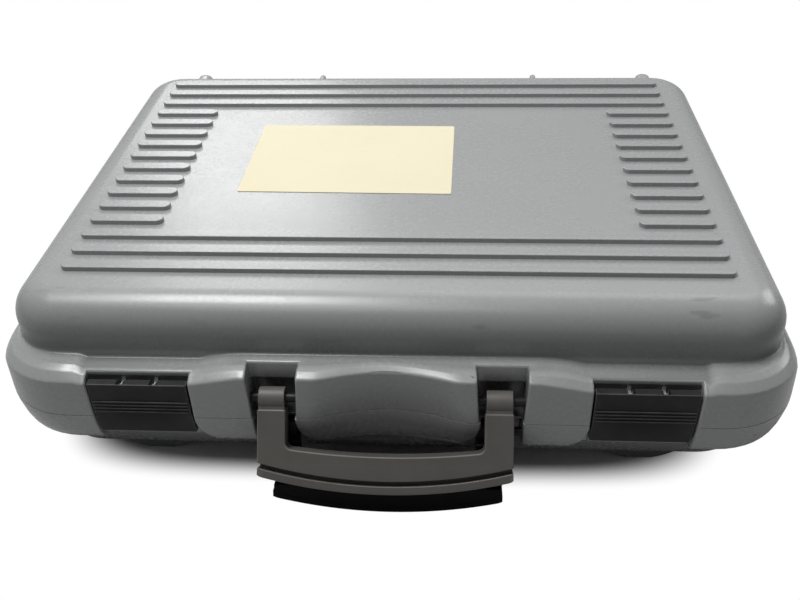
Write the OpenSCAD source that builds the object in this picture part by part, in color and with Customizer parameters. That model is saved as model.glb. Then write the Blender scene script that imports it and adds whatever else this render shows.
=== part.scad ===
// Closed carrying case with two latches and a two-half carry handle.
// X runs along the width, the front faces -Y, the case rests on its feet at Z = 0.

/* [Case] */
// Width over the rim
case_w = 348; // [300:1:420]
// Depth over the rim
case_d = 272; // [225:1:330]
// Height of the base, from the table to the parting plane
base_h = 48; // [47:0.5:58]
// Height of the lid, from the parting plane to its flat top
lid_h = 47; // [43:0.5:57]
// Thickness of the moulded walls
wall = 3; // [2.4:0.1:3.6]
// Gap between lid and base at the parting plane
parting_gap = 0.3; // [0.2:0.05:0.6]

/* [Rim] */
// How far the rim stands out from the side walls
rim_side = 10; // [8:0.5:14]
// How far the rim stands out from the front wall
rim_front = 14.5; // [13:0.5:18]
// How far the rim stands out from the back wall
rim_back = 12; // [10:0.5:15]
// Corner radius of the rim in plan
rim_r = 35; // [30:1:42]
// Height of the rim's ledge above the parting plane
rim_up = 23; // [21:0.5:26]
// Depth of the rim's lower edge below the parting plane
rim_down = 16.5; // [15:0.5:20]
// Fall of the rim's sloped shoulder
shoulder_fall = 6; // [3:0.5:8]
// Width of the rim's sloped shoulder
shoulder_in = 5; // [3:0.5:7]
// How far the rim's lower part draws in
rim_draw = 4; // [2:0.5:6]

/* [Walls] */
// Corner radius of the lid and base walls in plan
pan_r = 28; // [22:1:34]
// Rounding of the lid's top edges
edge_r = 15; // [10:0.5:17]
// Rounding of the base's bottom edges
base_edge_r = 26; // [22:0.5:27]

/* [Lid ribs] */
// Number of rib rows from front to back
rib_rows = 16; // [10:1:17]
// Rows at the front and at the back that run the full width
rib_full_rows = 3; // [1:1:4]
// Distance from the flat top's front edge to the middle of the first rib
rib_front_gap = 14.1; // [8:0.1:20]
// Distance from the flat top's back edge to the middle of the last rib
rib_back_gap = 10; // [8:0.1:20]
// Width of one rib
rib_w = 6.1; // [5:0.1:8]
// Height of one rib
rib_h = 1.8; // [1.5:0.1:4]
// Distance from the flat top's side edges to the ribs' outer ends
rib_end_gap = 5; // [2:0.1:20]
// Length of a short rib
rib_len = 34.5; // [20:0.1:50]

/* [Label] */
// Width of the label
label_w = 105; // [60:1:150]
// Depth of the label
label_d = 74; // [40:1:100]
// Thickness of the label
label_t = 0.3; // [0.2:0.05:0.6]
// Offset of the label to the side
label_x = -27; // [-40:1:40]
// Offset of the label to the back
label_y = 9; // [-12:1:12]

/* [Latches] */
// Offset of each latch outwards from midway between its handle notch and the rim's corner
latch_out = 7.875; // [-5:0.125:14]
// Width of one latch
latch_w = 42; // [34:0.5:48]
// Thickness of a latch plate
latch_t = 3.6; // [3.2:0.1:4]
// Height of the latch top above the parting plane
latch_up = 17.2; // [16:0.1:18]
// Depth of the latch's lower end below the parting plane
latch_down = 11; // [9:0.1:11.5]
// How far the latch's lower half leans in
latch_lean = 2; // [1:0.1:2.4]
// Clearance beside a latch
latch_gap = 0.7; // [0.4:0.1:1.2]
// Distance between the two lugs of a latch
lug_pitch = 14; // [12:0.5:18]
// Width of one lug
lug_w = 4.4; // [3.5:0.1:5]
// Radius of a latch pin
latch_pin_r = 1.2; // [1:0.05:1.3]
// Distance from a latch's side to the end of its pin
latch_pin_in = 4; // [3:0.5:7]

/* [Handle] */
// Width of the handle's lid half
handle_w = 104; // [90:0.5:126]
// How much narrower the base half is at each side
base_step = 2; // [0:0.5:3]
// Width of a handle arm
arm_w = 10; // [8:0.5:11]
// Half the thickness of a handle arm
arm_t = 4; // [3.5:0.1:4.2]
// Reach from the pivot to the grip's inner edge in the middle
grip_in = 23.5; // [21:0.5:28]
// Reach from the pivot to the grip's outer edge in the middle
grip_out = 39.6; // [36:0.2:41]
// How much shorter the base half is, so that the lid half's lip covers it
lip_cover = 1.2; // [1:0.1:4]
// Sag of the grip's inner edge
bow_in = 2.6; // [1:0.1:4]
// Sag of the grip's outer edge
bow_out = 6.6; // [4:0.1:8]
// Height of each handle pivot from the parting plane
pivot_h = 8.5; // [8:0.1:9.5]
// Depth of the handle pivots behind the rim's front face
pivot_in = 4.5; // [4:0.1:5.5]
// Radius of a pivot barrel
barrel_r = 4.6; // [4:0.1:4.8]
// Radius of a handle pin
handle_pin_r = 2; // [1.5:0.1:2.2]
// Lean of the lid half from upright as it hangs
lid_lean = 34; // [33:0.5:40]
// Lean of the base half from upright as it hangs
base_lean = 11; // [8:0.5:12]
// Clearance beside a handle arm in its notch
notch_gap = 3.25; // [2.5:0.25:4]
// Depth of a handle notch
notch_d = 12.5; // [12:0.5:13]
// Depth of the finger scallop between the notches
scallop_d = 6.5; // [4:0.5:8]

/* [Hinges] */
// Distance from the case's side to the middle of each hinge
hinge_in = 79; // [70:1:85]
// Width of one hinge
hinge_w = 40; // [32:1:44]
// Radius of a hinge knuckle
knuckle_r = 4; // [3.5:0.1:4.5]
// Radius of a hinge pin
hinge_pin_r = 2; // [1.5:0.1:2.2]
// Distance from a hinge's outer end to the middle of a wide rear foot
foot_gap = 18; // [10:1:21]
// Width of a wide rear foot
foot_w = 9; // [6:0.5:12]
// Distance from a hinge's inner end to the middle of a narrow rear foot
rib_foot_gap = 13; // [8:1:35]
// Width of a narrow rear foot
rib_foot_w = 4.5; // [3:0.5:8]
// Bevel at the end of each rear foot
foot_cut = 7; // [2:0.5:10]

/* [Feet] */
// Height of the feet
feet_h = 4; // [3:0.5:6]
// Radius of a foot's round underside
feet_r = 29; // [24:1:34]
// Length of a foot
feet_l = 30; // [20:1:36]
// Distance from a wall to the near end of a foot
feet_in = 14; // [4:0.5:20]
// Distance of a foot's middle outwards from a latch's middle
feet_out = 8; // [0:0.5:12]
// Depth of the flat ground on each foot
feet_flat = 0.6; // [0.3:0.1:1]

/* [Foam] */
// Clearance round the foam
foam_gap = 0.5; // [0.3:0.1:1]
// Thickness of the lid's foam pad below the lid's rounding
pad_extra = 4; // [2:0.5:8]
// Height of the floor foam above the wall's rounding
floor_extra = 1; // [0.5:0.5:5]
// Width of the foam left at the two sides of the pockets
foam_side = 19.5; // [12:0.5:30]
// Depth of the foam left at the front and the back of the pockets
foam_end = 35.25; // [25:0.25:50]
// Width of the side pocket
side_pocket_w = 84; // [50:1:120]
// Width of the foam wall between the pockets
pocket_wall = 20; // [14:1:30]
// Corner radius of the pockets
pocket_r = 14; // [6:1:20]
// Radius of the finger notches
finger_r = 16; // [10:1:18]

/* [Fits] */
// Radial clearance of each pin in its bores
fit = 0.05; // [0.03:0.01:0.1]
// Gap between knuckles, and between lugs and latch
play = 0.5; // [0.3:0.05:0.8]

/* [Hidden] */
$fn = 96;
eps = 0.01;

front = -case_d / 2;
back = case_d / 2;
lid_z = base_h + parting_gap;
lid_top = lid_z + lid_h;
ledge_z = lid_z + rim_up;
rim_low = base_h - rim_down;
pan_w = case_w - 2 * rim_side;
pan_front = front + rim_front;
pan_back = back - rim_back;
pan_d = pan_back - pan_front;
pan_y = (pan_front + pan_back) / 2;
inner_w = pan_w - 2 * wall;
inner_d = pan_d - 2 * wall;
inner_r = pan_r - wall;
floor_z = feet_h + wall;
floor_t = edge_r - wall + floor_extra;
pad_t = edge_r - wall + pad_extra;
ceiling_z = lid_top - wall;

rib_out = pan_w / 2 - edge_r - rib_end_gap;
rib_in = rib_out - rib_len;
rib_first = pan_front + edge_r + rib_front_gap;
rib_pitch = (pan_back - edge_r - rib_back_gap - rib_first) / (rib_rows - 1);

foam_w = inner_w - 2 * foam_gap;
foam_d = inner_d - 2 * foam_gap;
pocket_w = foam_w - 2 * foam_side - pocket_wall - side_pocket_w;
pocket_d = foam_d - 2 * foam_end;

notch_x = handle_w / 2 - arm_w / 2;
notch_w = arm_w + 2 * notch_gap;
base_handle_w = handle_w - 2 * base_step;
base_grip_out = grip_out - lip_cover;

latch_x = (notch_x + notch_w / 2 + case_w / 2 - rim_r) / 2 + latch_out;
latch_pin_l = latch_w - 2 * latch_pin_in;
latch_front = front + 0.5;
latch_back = latch_front + latch_t;
latch_axis_y = latch_front + 2.2;
latch_top = lid_z + latch_up;
latch_low = base_h - latch_down;
latch_axis_z = latch_top - 3;
latch_barrel_r = 2.6;
recess_y = latch_axis_y + 4.4;
base_recess_y = recess_y + 2.3;
recess_top = latch_top + 1.3;
lip_y = front + 5;
catch_y = latch_back + latch_lean + 1.7;

axis_y = front + pivot_in;
lid_axis_z = base_h + parting_gap / 2 + pivot_h;
base_axis_z = base_h + parting_gap / 2 - pivot_h;
grip_deep = pivot_h - 0.25;
notch_y = front + notch_d;
notch_top = base_h - 1.7;
strip_y = axis_y + (arm_t - (lid_axis_z - base_h) * sin(lid_lean)) / cos(lid_lean) + 1.2;
seam = barrel_r;

hinge_x = case_w / 2 - hinge_in;
foot_x = hinge_x + hinge_w / 2 + foot_gap;
rib_foot_x = hinge_x - hinge_w / 2 - rib_foot_gap;
hinge_y = back + knuckle_r + 0.5;
hinge_z = base_h + parting_gap / 2;
rear_y = hinge_y + knuckle_r + 1.5;
stop_h = 1.31 * (rear_y - hinge_y);
foot_top = lid_top - edge_r + 4;
foot_low = feet_h + edge_r - 7;

block_x = latch_x - latch_w / 2 - latch_gap - 1;
block_top = ledge_z + 1;
block_low = ledge_z - shoulder_fall + 1;

reach_y = axis_y - grip_out * sin(lid_lean) - arm_t * cos(lid_lean);
centre_y = -(reach_y + rear_y) / 2;

// Rounded rectangle in plan.
module plan(w, d, r) {
    square([w - 2 * r, d], center = true);
    square([w, d - 2 * r], center = true);
    for (sx = [-1, 1], sy = [-1, 1])
        translate([sx * (w / 2 - r), sy * (d / 2 - r)])
            circle(r);
}

// Solid of a rounded plan whose edge follows a side profile drawn from the corner's axis outwards.
module swept(w, d, r, z0, z1) {
    for (q = [[1, 1, 0], [-1, 1, 90], [-1, -1, 180], [1, -1, 270]])
        translate([q[0] * (w / 2 - r), q[1] * (d / 2 - r), 0])
            rotate([0, 0, q[2]])
                rotate_extrude(angle = 90)
                    children();
    for (s = [0, 180])
        rotate([0, 0, s]) {
            translate([w / 2 - r, d / 2 - r, 0])
                rotate([90, 0, 0])
                    linear_extrude(d - 2 * r)
                        children();
            translate([-w / 2 + r, d / 2 - r, 0])
                rotate([90, 0, 90])
                    linear_extrude(w - 2 * r)
                        children();
        }
    translate([-w / 2 + r, -d / 2 + r, z0])
        cube([w - 2 * r, d - 2 * r, z1 - z0]);
}

// Wall block with a rounded upper edge.
module dome(w, d, r, e, z0, z1) {
    swept(w, d, r, z0, z1) {
        union() {
            translate([0, z0])
                square([r, z1 - e - z0]);
            translate([0, z0])
                square([r - e, z1 - z0]);
            translate([r - e, z1 - e])
                intersection() {
                    circle(e);
                    square(e);
                }
        }
    }
}

// Wall block with a rounded lower edge.
module bowl(w, d, r, e, z0, z1) {
    translate([0, 0, z0 + z1])
        mirror([0, 0, 1])
            dome(w, d, r, e, z0, z1);
}

// Rim round the lid, with a sloped shoulder.
module lid_rim() {
    swept(case_w, case_d, rim_r, lid_z, ledge_z)
        polygon([
            [0, lid_z], [rim_r, lid_z], [rim_r, ledge_z - shoulder_fall],
            [rim_r - shoulder_in, ledge_z], [0, ledge_z]
        ]);
}

// Rim round the base, drawn in towards its lower edge.
module base_rim() {
    swept(case_w, case_d, rim_r, rim_low, base_h)
        polygon([
            [0, rim_low], [rim_r - rim_draw, rim_low], [rim_r, base_h - rim_down / 3],
            [rim_r, base_h], [0, base_h]
        ]);
}

// Bar along X from x0 to x1.
module bar(x0, x1, r, y, z) {
    translate([x0, y, z])
        rotate([0, 90, 0])
            cylinder(r = r, h = x1 - x0);
}

module box(x0, x1, y0, y1, z0, z1) {
    translate([x0, y0, z0])
        cube([x1 - x0, y1 - y0, z1 - z0]);
}

module both() {
    children();
    mirror([1, 0, 0])
        children();
}

// Concave finger scallop in the rim's front, between the handle notches.
module scallop() {
    half = notch_x - notch_w / 2 - 4;
    r = (half * half + scallop_d * scallop_d) / (2 * scallop_d);
    translate([0, front - r + scallop_d, rim_low - 5])
        cylinder(r = r, h = block_top - rim_low + 10, $fn = 180);
}

// Hollow of the rim at the two sides and at the back.
module rim_hollow(z0, z1) {
    run = case_d / 2 - rim_r - 10;
    both()
        box(pan_w / 2, case_w / 2 - wall, -run, run, z0, z1);
    box(-rib_foot_x + rib_foot_w, rib_foot_x - rib_foot_w, pan_back, back - wall, z0, z1);
}

// Knuckles of one hinge: the outer two belong to the base, the middle one to the lid.
function knuckle_spans(of_lid) = of_lid
    ? [[hinge_x - hinge_w / 6 + play / 2, hinge_x + hinge_w / 6 - play / 2]]
    : [[hinge_x - hinge_w / 2, hinge_x - hinge_w / 6 - play / 2],
       [hinge_x + hinge_w / 6 + play / 2, hinge_x + hinge_w / 2]];

module knuckles(of_lid) {
    both()
        for (s = knuckle_spans(of_lid)) {
            bar(s[0], s[1], knuckle_r, hinge_y, hinge_z);
            if (of_lid)
                box(s[0], s[1], back - 2, hinge_y, lid_z, hinge_z + 10);
            else
                box(s[0], s[1], back - 2, hinge_y, hinge_z - 10, base_h);
        }
}

module hinge_bores() {
    both()
        bar(hinge_x - hinge_w / 2 - 1, hinge_x + hinge_w / 2 + 1, hinge_pin_r + fit, hinge_y, hinge_z);
}

// Standing feet on the back, which also stop the open lid: near is the end by the hinge, far the other end.
module rear_feet(near, far, root) {
    cut = far > near ? foot_cut : -foot_cut;
    both()
        for (f = [[foot_x, foot_w], [rib_foot_x, rib_foot_w]])
            translate([f[0] - f[1] / 2, 0, 0])
                rotate([90, 0, 90])
                    linear_extrude(f[1])
                        polygon([
                            [pan_back - root, near], [rear_y, near], [rear_y, far - cut],
                            [rear_y - foot_cut, far], [pan_back - root, far]
                        ]);
}

// Round-bottomed feet under the base, with a flat ground on each.
module feet() {
    both()
        for (y0 = [pan_front + feet_in, pan_back - feet_in - feet_l])
            intersection() {
                translate([latch_x + feet_out, y0, feet_r - feet_flat])
                    rotate([-90, 0, 0])
                        cylinder(r = feet_r, h = feet_l);
                box(0, case_w / 2, y0 - 1, y0 + feet_l + 1, 0, feet_h + edge_r - 5);
            }
}

// Notches for the handle arms, from the rim's front back to y.
module notch(y, z0, z1) {
    both()
        box(notch_x - notch_w / 2, notch_x + notch_w / 2, front - 5, y, z0, z1);
}

module handle_bores(z) {
    both()
        bar(notch_x - notch_w / 2 - 4.2, notch_x + notch_w / 2 + 4.2, handle_pin_r + fit, axis_y, z);
}

module ribs() {
    r = rib_w / 2;
    for (i = [0:rib_rows - 1]) {
        y = rib_first + i * rib_pitch;
        full = i < rib_full_rows || i >= rib_rows - rib_full_rows;
        if (full)
            rib(-rib_out, rib_out, y, r);
        else
            both()
                rib(rib_in, rib_out, y, r);
    }
}

module rib(x0, x1, y, r) {
    translate([0, y, lid_top - eps]) {
        linear_extrude(rib_h + eps) {
            translate([x0 + r, -r])
                square([x1 - x0 - 2 * r, 2 * r]);
            for (x = [x0 + r, x1 - r])
                translate([x, 0])
                    circle(r);
        }
    }
}

// Lugs that carry a latch pin.
module lugs() {
    both()
        for (s = [-1, 1]) {
            x = latch_x + s * lug_pitch / 2;
            bar(x - lug_w / 2, x + lug_w / 2, latch_barrel_r, latch_axis_y, latch_axis_z);
            box(x - lug_w / 2, x + lug_w / 2, latch_axis_y, recess_y + 1, latch_axis_z - 2, latch_axis_z + 2);
        }
}

module lid_shell() {
    half_recess = latch_w / 2 + latch_gap;
    color("silver")
    difference() {
        union() {
            difference() {
                union() {
                    translate([0, pan_y, 0])
                        dome(pan_w, pan_d, pan_r, edge_r, lid_z, lid_top);
                    lid_rim();
                    front_block();
                    rear_feet(hinge_z + stop_h, foot_top, 2.5);
                    knuckles(true);
                }
                translate([0, pan_y, 0])
                    dome(inner_w, inner_d, inner_r, edge_r - wall, lid_z - 1, ceiling_z);
                rim_hollow(lid_z - 1, ledge_z - shoulder_fall - wall / 2);
                notch(notch_y, lid_z - 1, block_top + 5);
                scallop();
                both() {
                    box(latch_x - half_recess, latch_x + half_recess, front - 5, recess_y, lid_z - 1, recess_top);
                    box(latch_x - half_recess, latch_x + half_recess, front - 5, lip_y, lid_z, block_top + 5);
                }
            }
            lugs();
            ribs();
        }
        both()
            bar(latch_x - lug_pitch, latch_x + lug_pitch, latch_pin_r + fit, latch_axis_y, latch_axis_z);
        handle_bores(lid_axis_z);
        hinge_bores();
    }
}

// Raised middle of the rim's front, falling towards the latches.
module front_block() {
    flat = notch_x + notch_w / 2 + 1;
    translate([0, pan_front + wall / 2, 0])
        rotate([90, 0, 0])
            linear_extrude(pan_front + wall / 2 - front)
                polygon([
                    [-block_x, lid_z], [block_x, lid_z], [block_x, block_low], [flat, block_top],
                    [-flat, block_top], [-block_x, block_low]
                ]);
}

module base_shell() {
    half_recess = latch_w / 2 + latch_gap;
    color("darkgray")
    difference() {
        union() {
            difference() {
                union() {
                    translate([0, pan_y, 0])
                        bowl(pan_w, pan_d, pan_r, base_edge_r, feet_h, base_h);
                    base_rim();
                    feet();
                    rear_feet(hinge_z - stop_h, foot_low, 10);
                    knuckles(false);
                }
                translate([0, pan_y, 0])
                    bowl(inner_w, inner_d, inner_r, base_edge_r - wall, floor_z, base_h + 1);
                rim_hollow(rim_low + wall, base_h + 1);
                notch(notch_y, rim_low - 5, notch_top);
                notch(strip_y, rim_low - 5, base_h + 1);
                scallop();
                both() {
                    box(latch_x - half_recess, latch_x + half_recess, front - 5, base_recess_y,
                        latch_low - 1, base_h + 1);
                    box(latch_x - half_recess, latch_x + half_recess, front - 5, lip_y - 1, rim_low - 1, base_h);
                }
            }
            both()
                box(latch_x - latch_w / 2, latch_x + latch_w / 2, catch_y, base_recess_y + 0.5,
                    latch_low + 3, latch_low + 5);
        }
        handle_bores(base_axis_z);
        hinge_bores();
    }
}

module lid_foam_pad() {
    color("dimgray")
    translate([0, pan_y, 0])
        dome(foam_w, foam_d, inner_r - foam_gap, edge_r - wall,
            ceiling_z - foam_gap - pad_t, ceiling_z - foam_gap);
}

// Space that the base's foam keeps to, a gap inside the shell.
module foam_space() {
    translate([0, pan_y, 0])
        bowl(foam_w, foam_d, inner_r - foam_gap, base_edge_r - wall, floor_z + foam_gap, base_h);
}

module base_foam_floor() {
    color("dimgray")
    intersection() {
        foam_space();
        box(-foam_w, foam_w, -foam_d, foam_d, floor_z, floor_z + foam_gap + floor_t);
    }
}

module base_foam_insert() {
    low = floor_z + foam_gap + floor_t;
    both_w = pocket_w + pocket_wall + side_pocket_w;
    main_x = -both_w / 2 + pocket_w / 2;
    side_x = both_w / 2 - side_pocket_w / 2;
    color("gray")
    intersection() {
        foam_space();
        translate([0, pan_y, low])
            linear_extrude(base_h - 1 - low)
                difference() {
                    plan(foam_w, foam_d, inner_r - foam_gap);
                    translate([main_x, 0]) {
                        plan(pocket_w, pocket_d, pocket_r);
                        for (s = [-1, 1])
                            translate([0, s * pocket_d / 2])
                                circle(finger_r);
                    }
                    translate([side_x, 0]) {
                        plan(side_pocket_w, pocket_d, pocket_r);
                        for (s = [-1, 1])
                            translate([0, s * pocket_d / 2])
                                circle(finger_r);
                    }
                }
    }
}

module lid_label() {
    color("beige")
    translate([label_x, label_y, lid_top])
        linear_extrude(label_t)
            square([label_w, label_d], center = true);
}

module hinge_pin() {
    bar(hinge_x - hinge_w / 2, hinge_x + hinge_w / 2, hinge_pin_r, hinge_y, hinge_z);
}

module hinge_pin_left() {
    color("lightgray")
    mirror([1, 0, 0])
        hinge_pin();
}

module hinge_pin_right() {
    color("lightgray")
    hinge_pin();
}

module latch_pin() {
    bar(latch_x - latch_pin_l / 2, latch_x + latch_pin_l / 2, latch_pin_r, latch_axis_y, latch_axis_z);
}

module latch_pin_left() {
    color("lightgray")
    mirror([1, 0, 0])
        latch_pin();
}

module latch_pin_right() {
    color("lightgray")
    latch_pin();
}

// Side outline of a latch: upright plate, lower half leaning in, snap bead at the end.
module latch_outline() {
    crease = base_h + 1.5;
    lean = latch_lean;
    polygon([
        [latch_front, latch_top], [latch_front, crease], [latch_front + lean, latch_low],
        [latch_back + lean, latch_low], [latch_back + lean + 1, latch_low + 1],
        [latch_back + lean + 1, latch_low + 2], [latch_back + lean * 0.75, latch_low + 3.2],
        [latch_back, crease], [latch_back, latch_top]
    ]);
    for (i = [0:3])
        translate([latch_front - 0.5, crease + 0.6 + i * 1.9])
            square([1, 1]);
    translate([latch_axis_y, latch_axis_z])
        circle(latch_barrel_r);
}

module latch() {
    difference() {
        translate([latch_x - latch_w / 2, 0, 0])
            rotate([90, 0, 90])
                linear_extrude(latch_w)
                    latch_outline();
        for (s = [-1, 1]) {
            x = latch_x + s * lug_pitch / 2;
            half = lug_w / 2 + play;
            box(x - half, x + half, front - 5, recess_y + 5, latch_axis_z - 4, latch_top + 1);
        }
        bar(latch_x - latch_pin_l / 2 - 0.5, latch_x + latch_pin_l / 2 + 0.5, latch_pin_r + fit,
            latch_axis_y, latch_axis_z);
    }
}

module latch_left() {
    color("black")
    mirror([1, 0, 0])
        latch();
}

module latch_right() {
    color("black")
    latch();
}

// Outline of a handle half in its own plane: the reach runs towards -Y.
module half_outline(w, reach, r0) {
    inner_w = w - 2 * arm_w;
    out_r = (w * w / 4 + bow_out * bow_out) / (2 * bow_out);
    in_r = (inner_w * inner_w / 4 + bow_in * bow_in) / (2 * bow_in);
    difference() {
        intersection() {
            translate([-w / 2, -reach])
                square([w, reach - r0]);
            translate([0, out_r - reach])
                circle(out_r, $fn = 180);
        }
        intersection() {
            translate([-inner_w / 2, -grip_in])
                square([inner_w, grip_in + 1]);
            translate([0, in_r - grip_in])
                circle(in_r, $fn = 180);
        }
    }
}

// One handle half lying level, its pivot on the X axis and its outer face up.
module handle_half(w, reach) {
    arm_x = w / 2 - arm_w / 2;
    out_r = (w * w / 4 + bow_out * bow_out) / (2 * bow_out);
    neck = arm_w - 1;
    difference() {
        union() {
            translate([0, 0, -arm_t])
                linear_extrude(2 * arm_t)
                    half_outline(w, reach, seam);
            translate([0, 0, -grip_deep])
                linear_extrude(grip_deep)
                    intersection() {
                        half_outline(w, reach, seam);
                        translate([-w / 2, -reach])
                            square([w, reach - grip_in - 1]);
                    }
            both() {
                bar(arm_x - neck / 2, arm_x + neck / 2, barrel_r, 0, 0);
                box(arm_x - neck / 2, arm_x + neck / 2, -seam - 1, 3.6, -arm_t + 0.8, arm_t - 0.8);
            }
        }
        both()
            bar(arm_x - arm_w, arm_x + arm_w, handle_pin_r + fit, 0, 0);
        translate([0, out_r - reach, arm_t - 1.2])
            linear_extrude(2)
                difference() {
                    circle(out_r - 3.9, $fn = 180);
                    circle(out_r - 5.2, $fn = 180);
                    translate([-w, -out_r + reach - seam])
                        square([2 * w, 2 * out_r]);
                }
    }
}

module handle_lid_half() {
    color("dimgray")
    translate([0, axis_y, lid_axis_z])
        rotate([90 - lid_lean, 0, 0])
            handle_half(handle_w, grip_out);
}

module handle_base_half() {
    color("black")
    translate([0, axis_y, base_axis_z])
        rotate([90 - base_lean, 0, 0])
            mirror([0, 0, 1])
                handle_half(base_handle_w, base_grip_out);
}

module handle_pin(z) {
    bar(notch_x - notch_w / 2 - 4, notch_x + notch_w / 2 + 4, handle_pin_r, axis_y, z);
}

module handle_lid_pin_left() {
    color("lightgray")
    mirror([1, 0, 0])
        handle_pin(lid_axis_z);
}

module handle_lid_pin_right() {
    color("lightgray")
    handle_pin(lid_axis_z);
}

module handle_base_pin_left() {
    color("lightgray")
    mirror([1, 0, 0])
        handle_pin(base_axis_z);
}

module handle_base_pin_right() {
    color("lightgray")
    handle_pin(base_axis_z);
}

// Moves the whole case so that its box is centred over the origin.
module place() {
    translate([0, centre_y, 0])
        children();
}

place() base_shell();
place() base_foam_floor();
place() base_foam_insert();
place() lid_shell();
place() lid_foam_pad();
place() lid_label();
place() hinge_pin_left();
place() hinge_pin_right();
place() latch_left();
place() latch_right();
place() latch_pin_left();
place() latch_pin_right();
place() handle_lid_half();
place() handle_base_half();
place() handle_lid_pin_left();
place() handle_lid_pin_right();
place() handle_base_pin_left();
place() handle_base_pin_right();
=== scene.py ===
import math

import bmesh
import bpy
from bpy.props import FloatProperty, FloatVectorProperty, IntProperty, PointerProperty
from mathutils import Matrix, Vector


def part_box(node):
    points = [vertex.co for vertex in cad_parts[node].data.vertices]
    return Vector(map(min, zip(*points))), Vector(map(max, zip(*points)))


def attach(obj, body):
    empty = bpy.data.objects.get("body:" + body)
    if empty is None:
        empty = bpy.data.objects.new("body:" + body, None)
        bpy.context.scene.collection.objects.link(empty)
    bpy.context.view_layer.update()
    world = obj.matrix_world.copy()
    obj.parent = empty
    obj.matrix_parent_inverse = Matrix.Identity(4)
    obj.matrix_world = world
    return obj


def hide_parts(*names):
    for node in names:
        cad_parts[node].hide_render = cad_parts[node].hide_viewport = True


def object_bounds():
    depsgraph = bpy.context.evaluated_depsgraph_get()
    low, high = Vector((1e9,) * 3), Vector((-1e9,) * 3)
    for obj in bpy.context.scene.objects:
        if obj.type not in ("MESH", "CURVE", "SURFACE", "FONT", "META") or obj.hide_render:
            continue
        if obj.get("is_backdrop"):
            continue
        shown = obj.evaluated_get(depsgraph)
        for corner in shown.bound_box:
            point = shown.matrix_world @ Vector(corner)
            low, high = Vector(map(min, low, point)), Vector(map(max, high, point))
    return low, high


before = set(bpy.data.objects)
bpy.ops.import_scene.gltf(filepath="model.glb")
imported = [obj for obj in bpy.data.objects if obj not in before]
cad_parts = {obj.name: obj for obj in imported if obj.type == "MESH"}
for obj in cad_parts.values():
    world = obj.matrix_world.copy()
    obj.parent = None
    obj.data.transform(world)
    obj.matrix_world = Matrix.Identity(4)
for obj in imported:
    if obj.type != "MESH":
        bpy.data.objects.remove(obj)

bl_info = {
    "name": "Carrying Case",
    "version": (1, 0, 0),
    "blender": (4, 5, 0),
    "location": "3D View > Sidebar > Case",
    "description": "Models a moulded carrying case with its latches, handle, label and foam",
    "category": "Add Mesh",
}

MM = 0.001
CAD_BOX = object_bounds()
LID_LOW, LID_HIGH = (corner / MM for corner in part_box("lid_shell"))
LABEL_LOW, LABEL_HIGH = (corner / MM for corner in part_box("lid_label"))
WHITE = (1.0, 1.0, 1.0, 1.0)

# Places that pieces share, in millimetres, with Y 0 in the middle of the rim's depth
PARTING = 48.0  # height at which the lid meets the base
PARTING_GAP = 0.06
FRONT_SHIFT = -0.9  # the notches and the scallop sit this far from the middle
HANDLE_SHIFT = -0.7  # the handle sits this much further
NOTCH = (39.2, 56.6)  # sides of a handle notch
RECESS = (83.3, 126.7)  # sides of a latch recess
HANDLE_PIN_Y, LID_PIN_Z, BASE_PIN_Z = -131.5, 56.65, 39.65
HINGE_Y, HINGE_Z = 140.5, 48.15
PIN_HOLE = 2.05  # radius of the holes for the hinge and handle pins
LUG_PLACES = (98.0, 112.0)
LATCH_MIDDLE = 105.0
SAME = 1e-3  # heights this close are the same


def length(title, text, default):
    """A size in metres that shows in the sidebar."""
    return FloatProperty(name=title, description=text, default=default, min=0.0, unit="LENGTH", precision=5)


def colour(title, text, default):
    """A colour that shows in the sidebar."""
    return FloatVectorProperty(
        name=title, description=text, default=default, size=3, min=0.0, max=1.0, subtype="COLOR"
    )


class CaseSizes(bpy.types.PropertyGroup):
    """Sizes of the case"""

    depth: length("Depth", "Depth of the rim from front to back", 0.272)
    wall: length("Wall", "Thickness of the moulded walls", 0.003)
    rim_side: length("Rim at the sides", "How far the rim stands out from the side walls", 0.0088)
    rim_front: length("Rim in front", "How far the rim stands out from the front wall", 0.0145)
    rim_back: length("Rim at the back", "How far the rim stands out from the back wall", 0.0105)
    rim_corner: length("Rim corner", "Corner radius of the rim in plan", 0.035)
    wall_corner: length("Wall corner", "Corner radius of the lid's walls in plan", 0.022)
    top_rounding: length("Edge rounding", "Rounding of the lid's top edges", 0.015)
    base_corner: length("Base corner", "Corner radius of the base's walls in plan", 0.028)
    base_rounding: length("Base rounding", "Rounding of the base's bottom edges", 0.026)
    shoulder: length("Shoulder softness", "Rounding along the rim's shoulder", 0.0008)
    cut_edge: length("Cut edge softness", "Rounding along the notches and recesses", 0.0011)
    rib_rows: IntProperty(name="Rib rows", description="Rows of ribs on the lid", default=16, min=8, max=20)
    rib_width: length("Rib width", "Width of one rib", 0.0061)
    rib_height: length("Rib height", "How far a rib stands up from the lid", 0.0022)
    latch_width: length("Latch width", "Width of one latch", 0.042)
    latch_edge: length("Latch edge", "Rounding along a latch's edges", 0.0004)
    handle_width: length("Handle width", "Width of the handle's lid half", 0.1068)
    handle_reach: length("Handle reach", "Reach of the lid half from its pivot", 0.0396)
    handle_edge: length("Handle edge", "Rounding along the handle's edges", 0.0008)
    foam_edge: length("Foam edge", "Rounding along the foam's cut edges", 0.0018)


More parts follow.
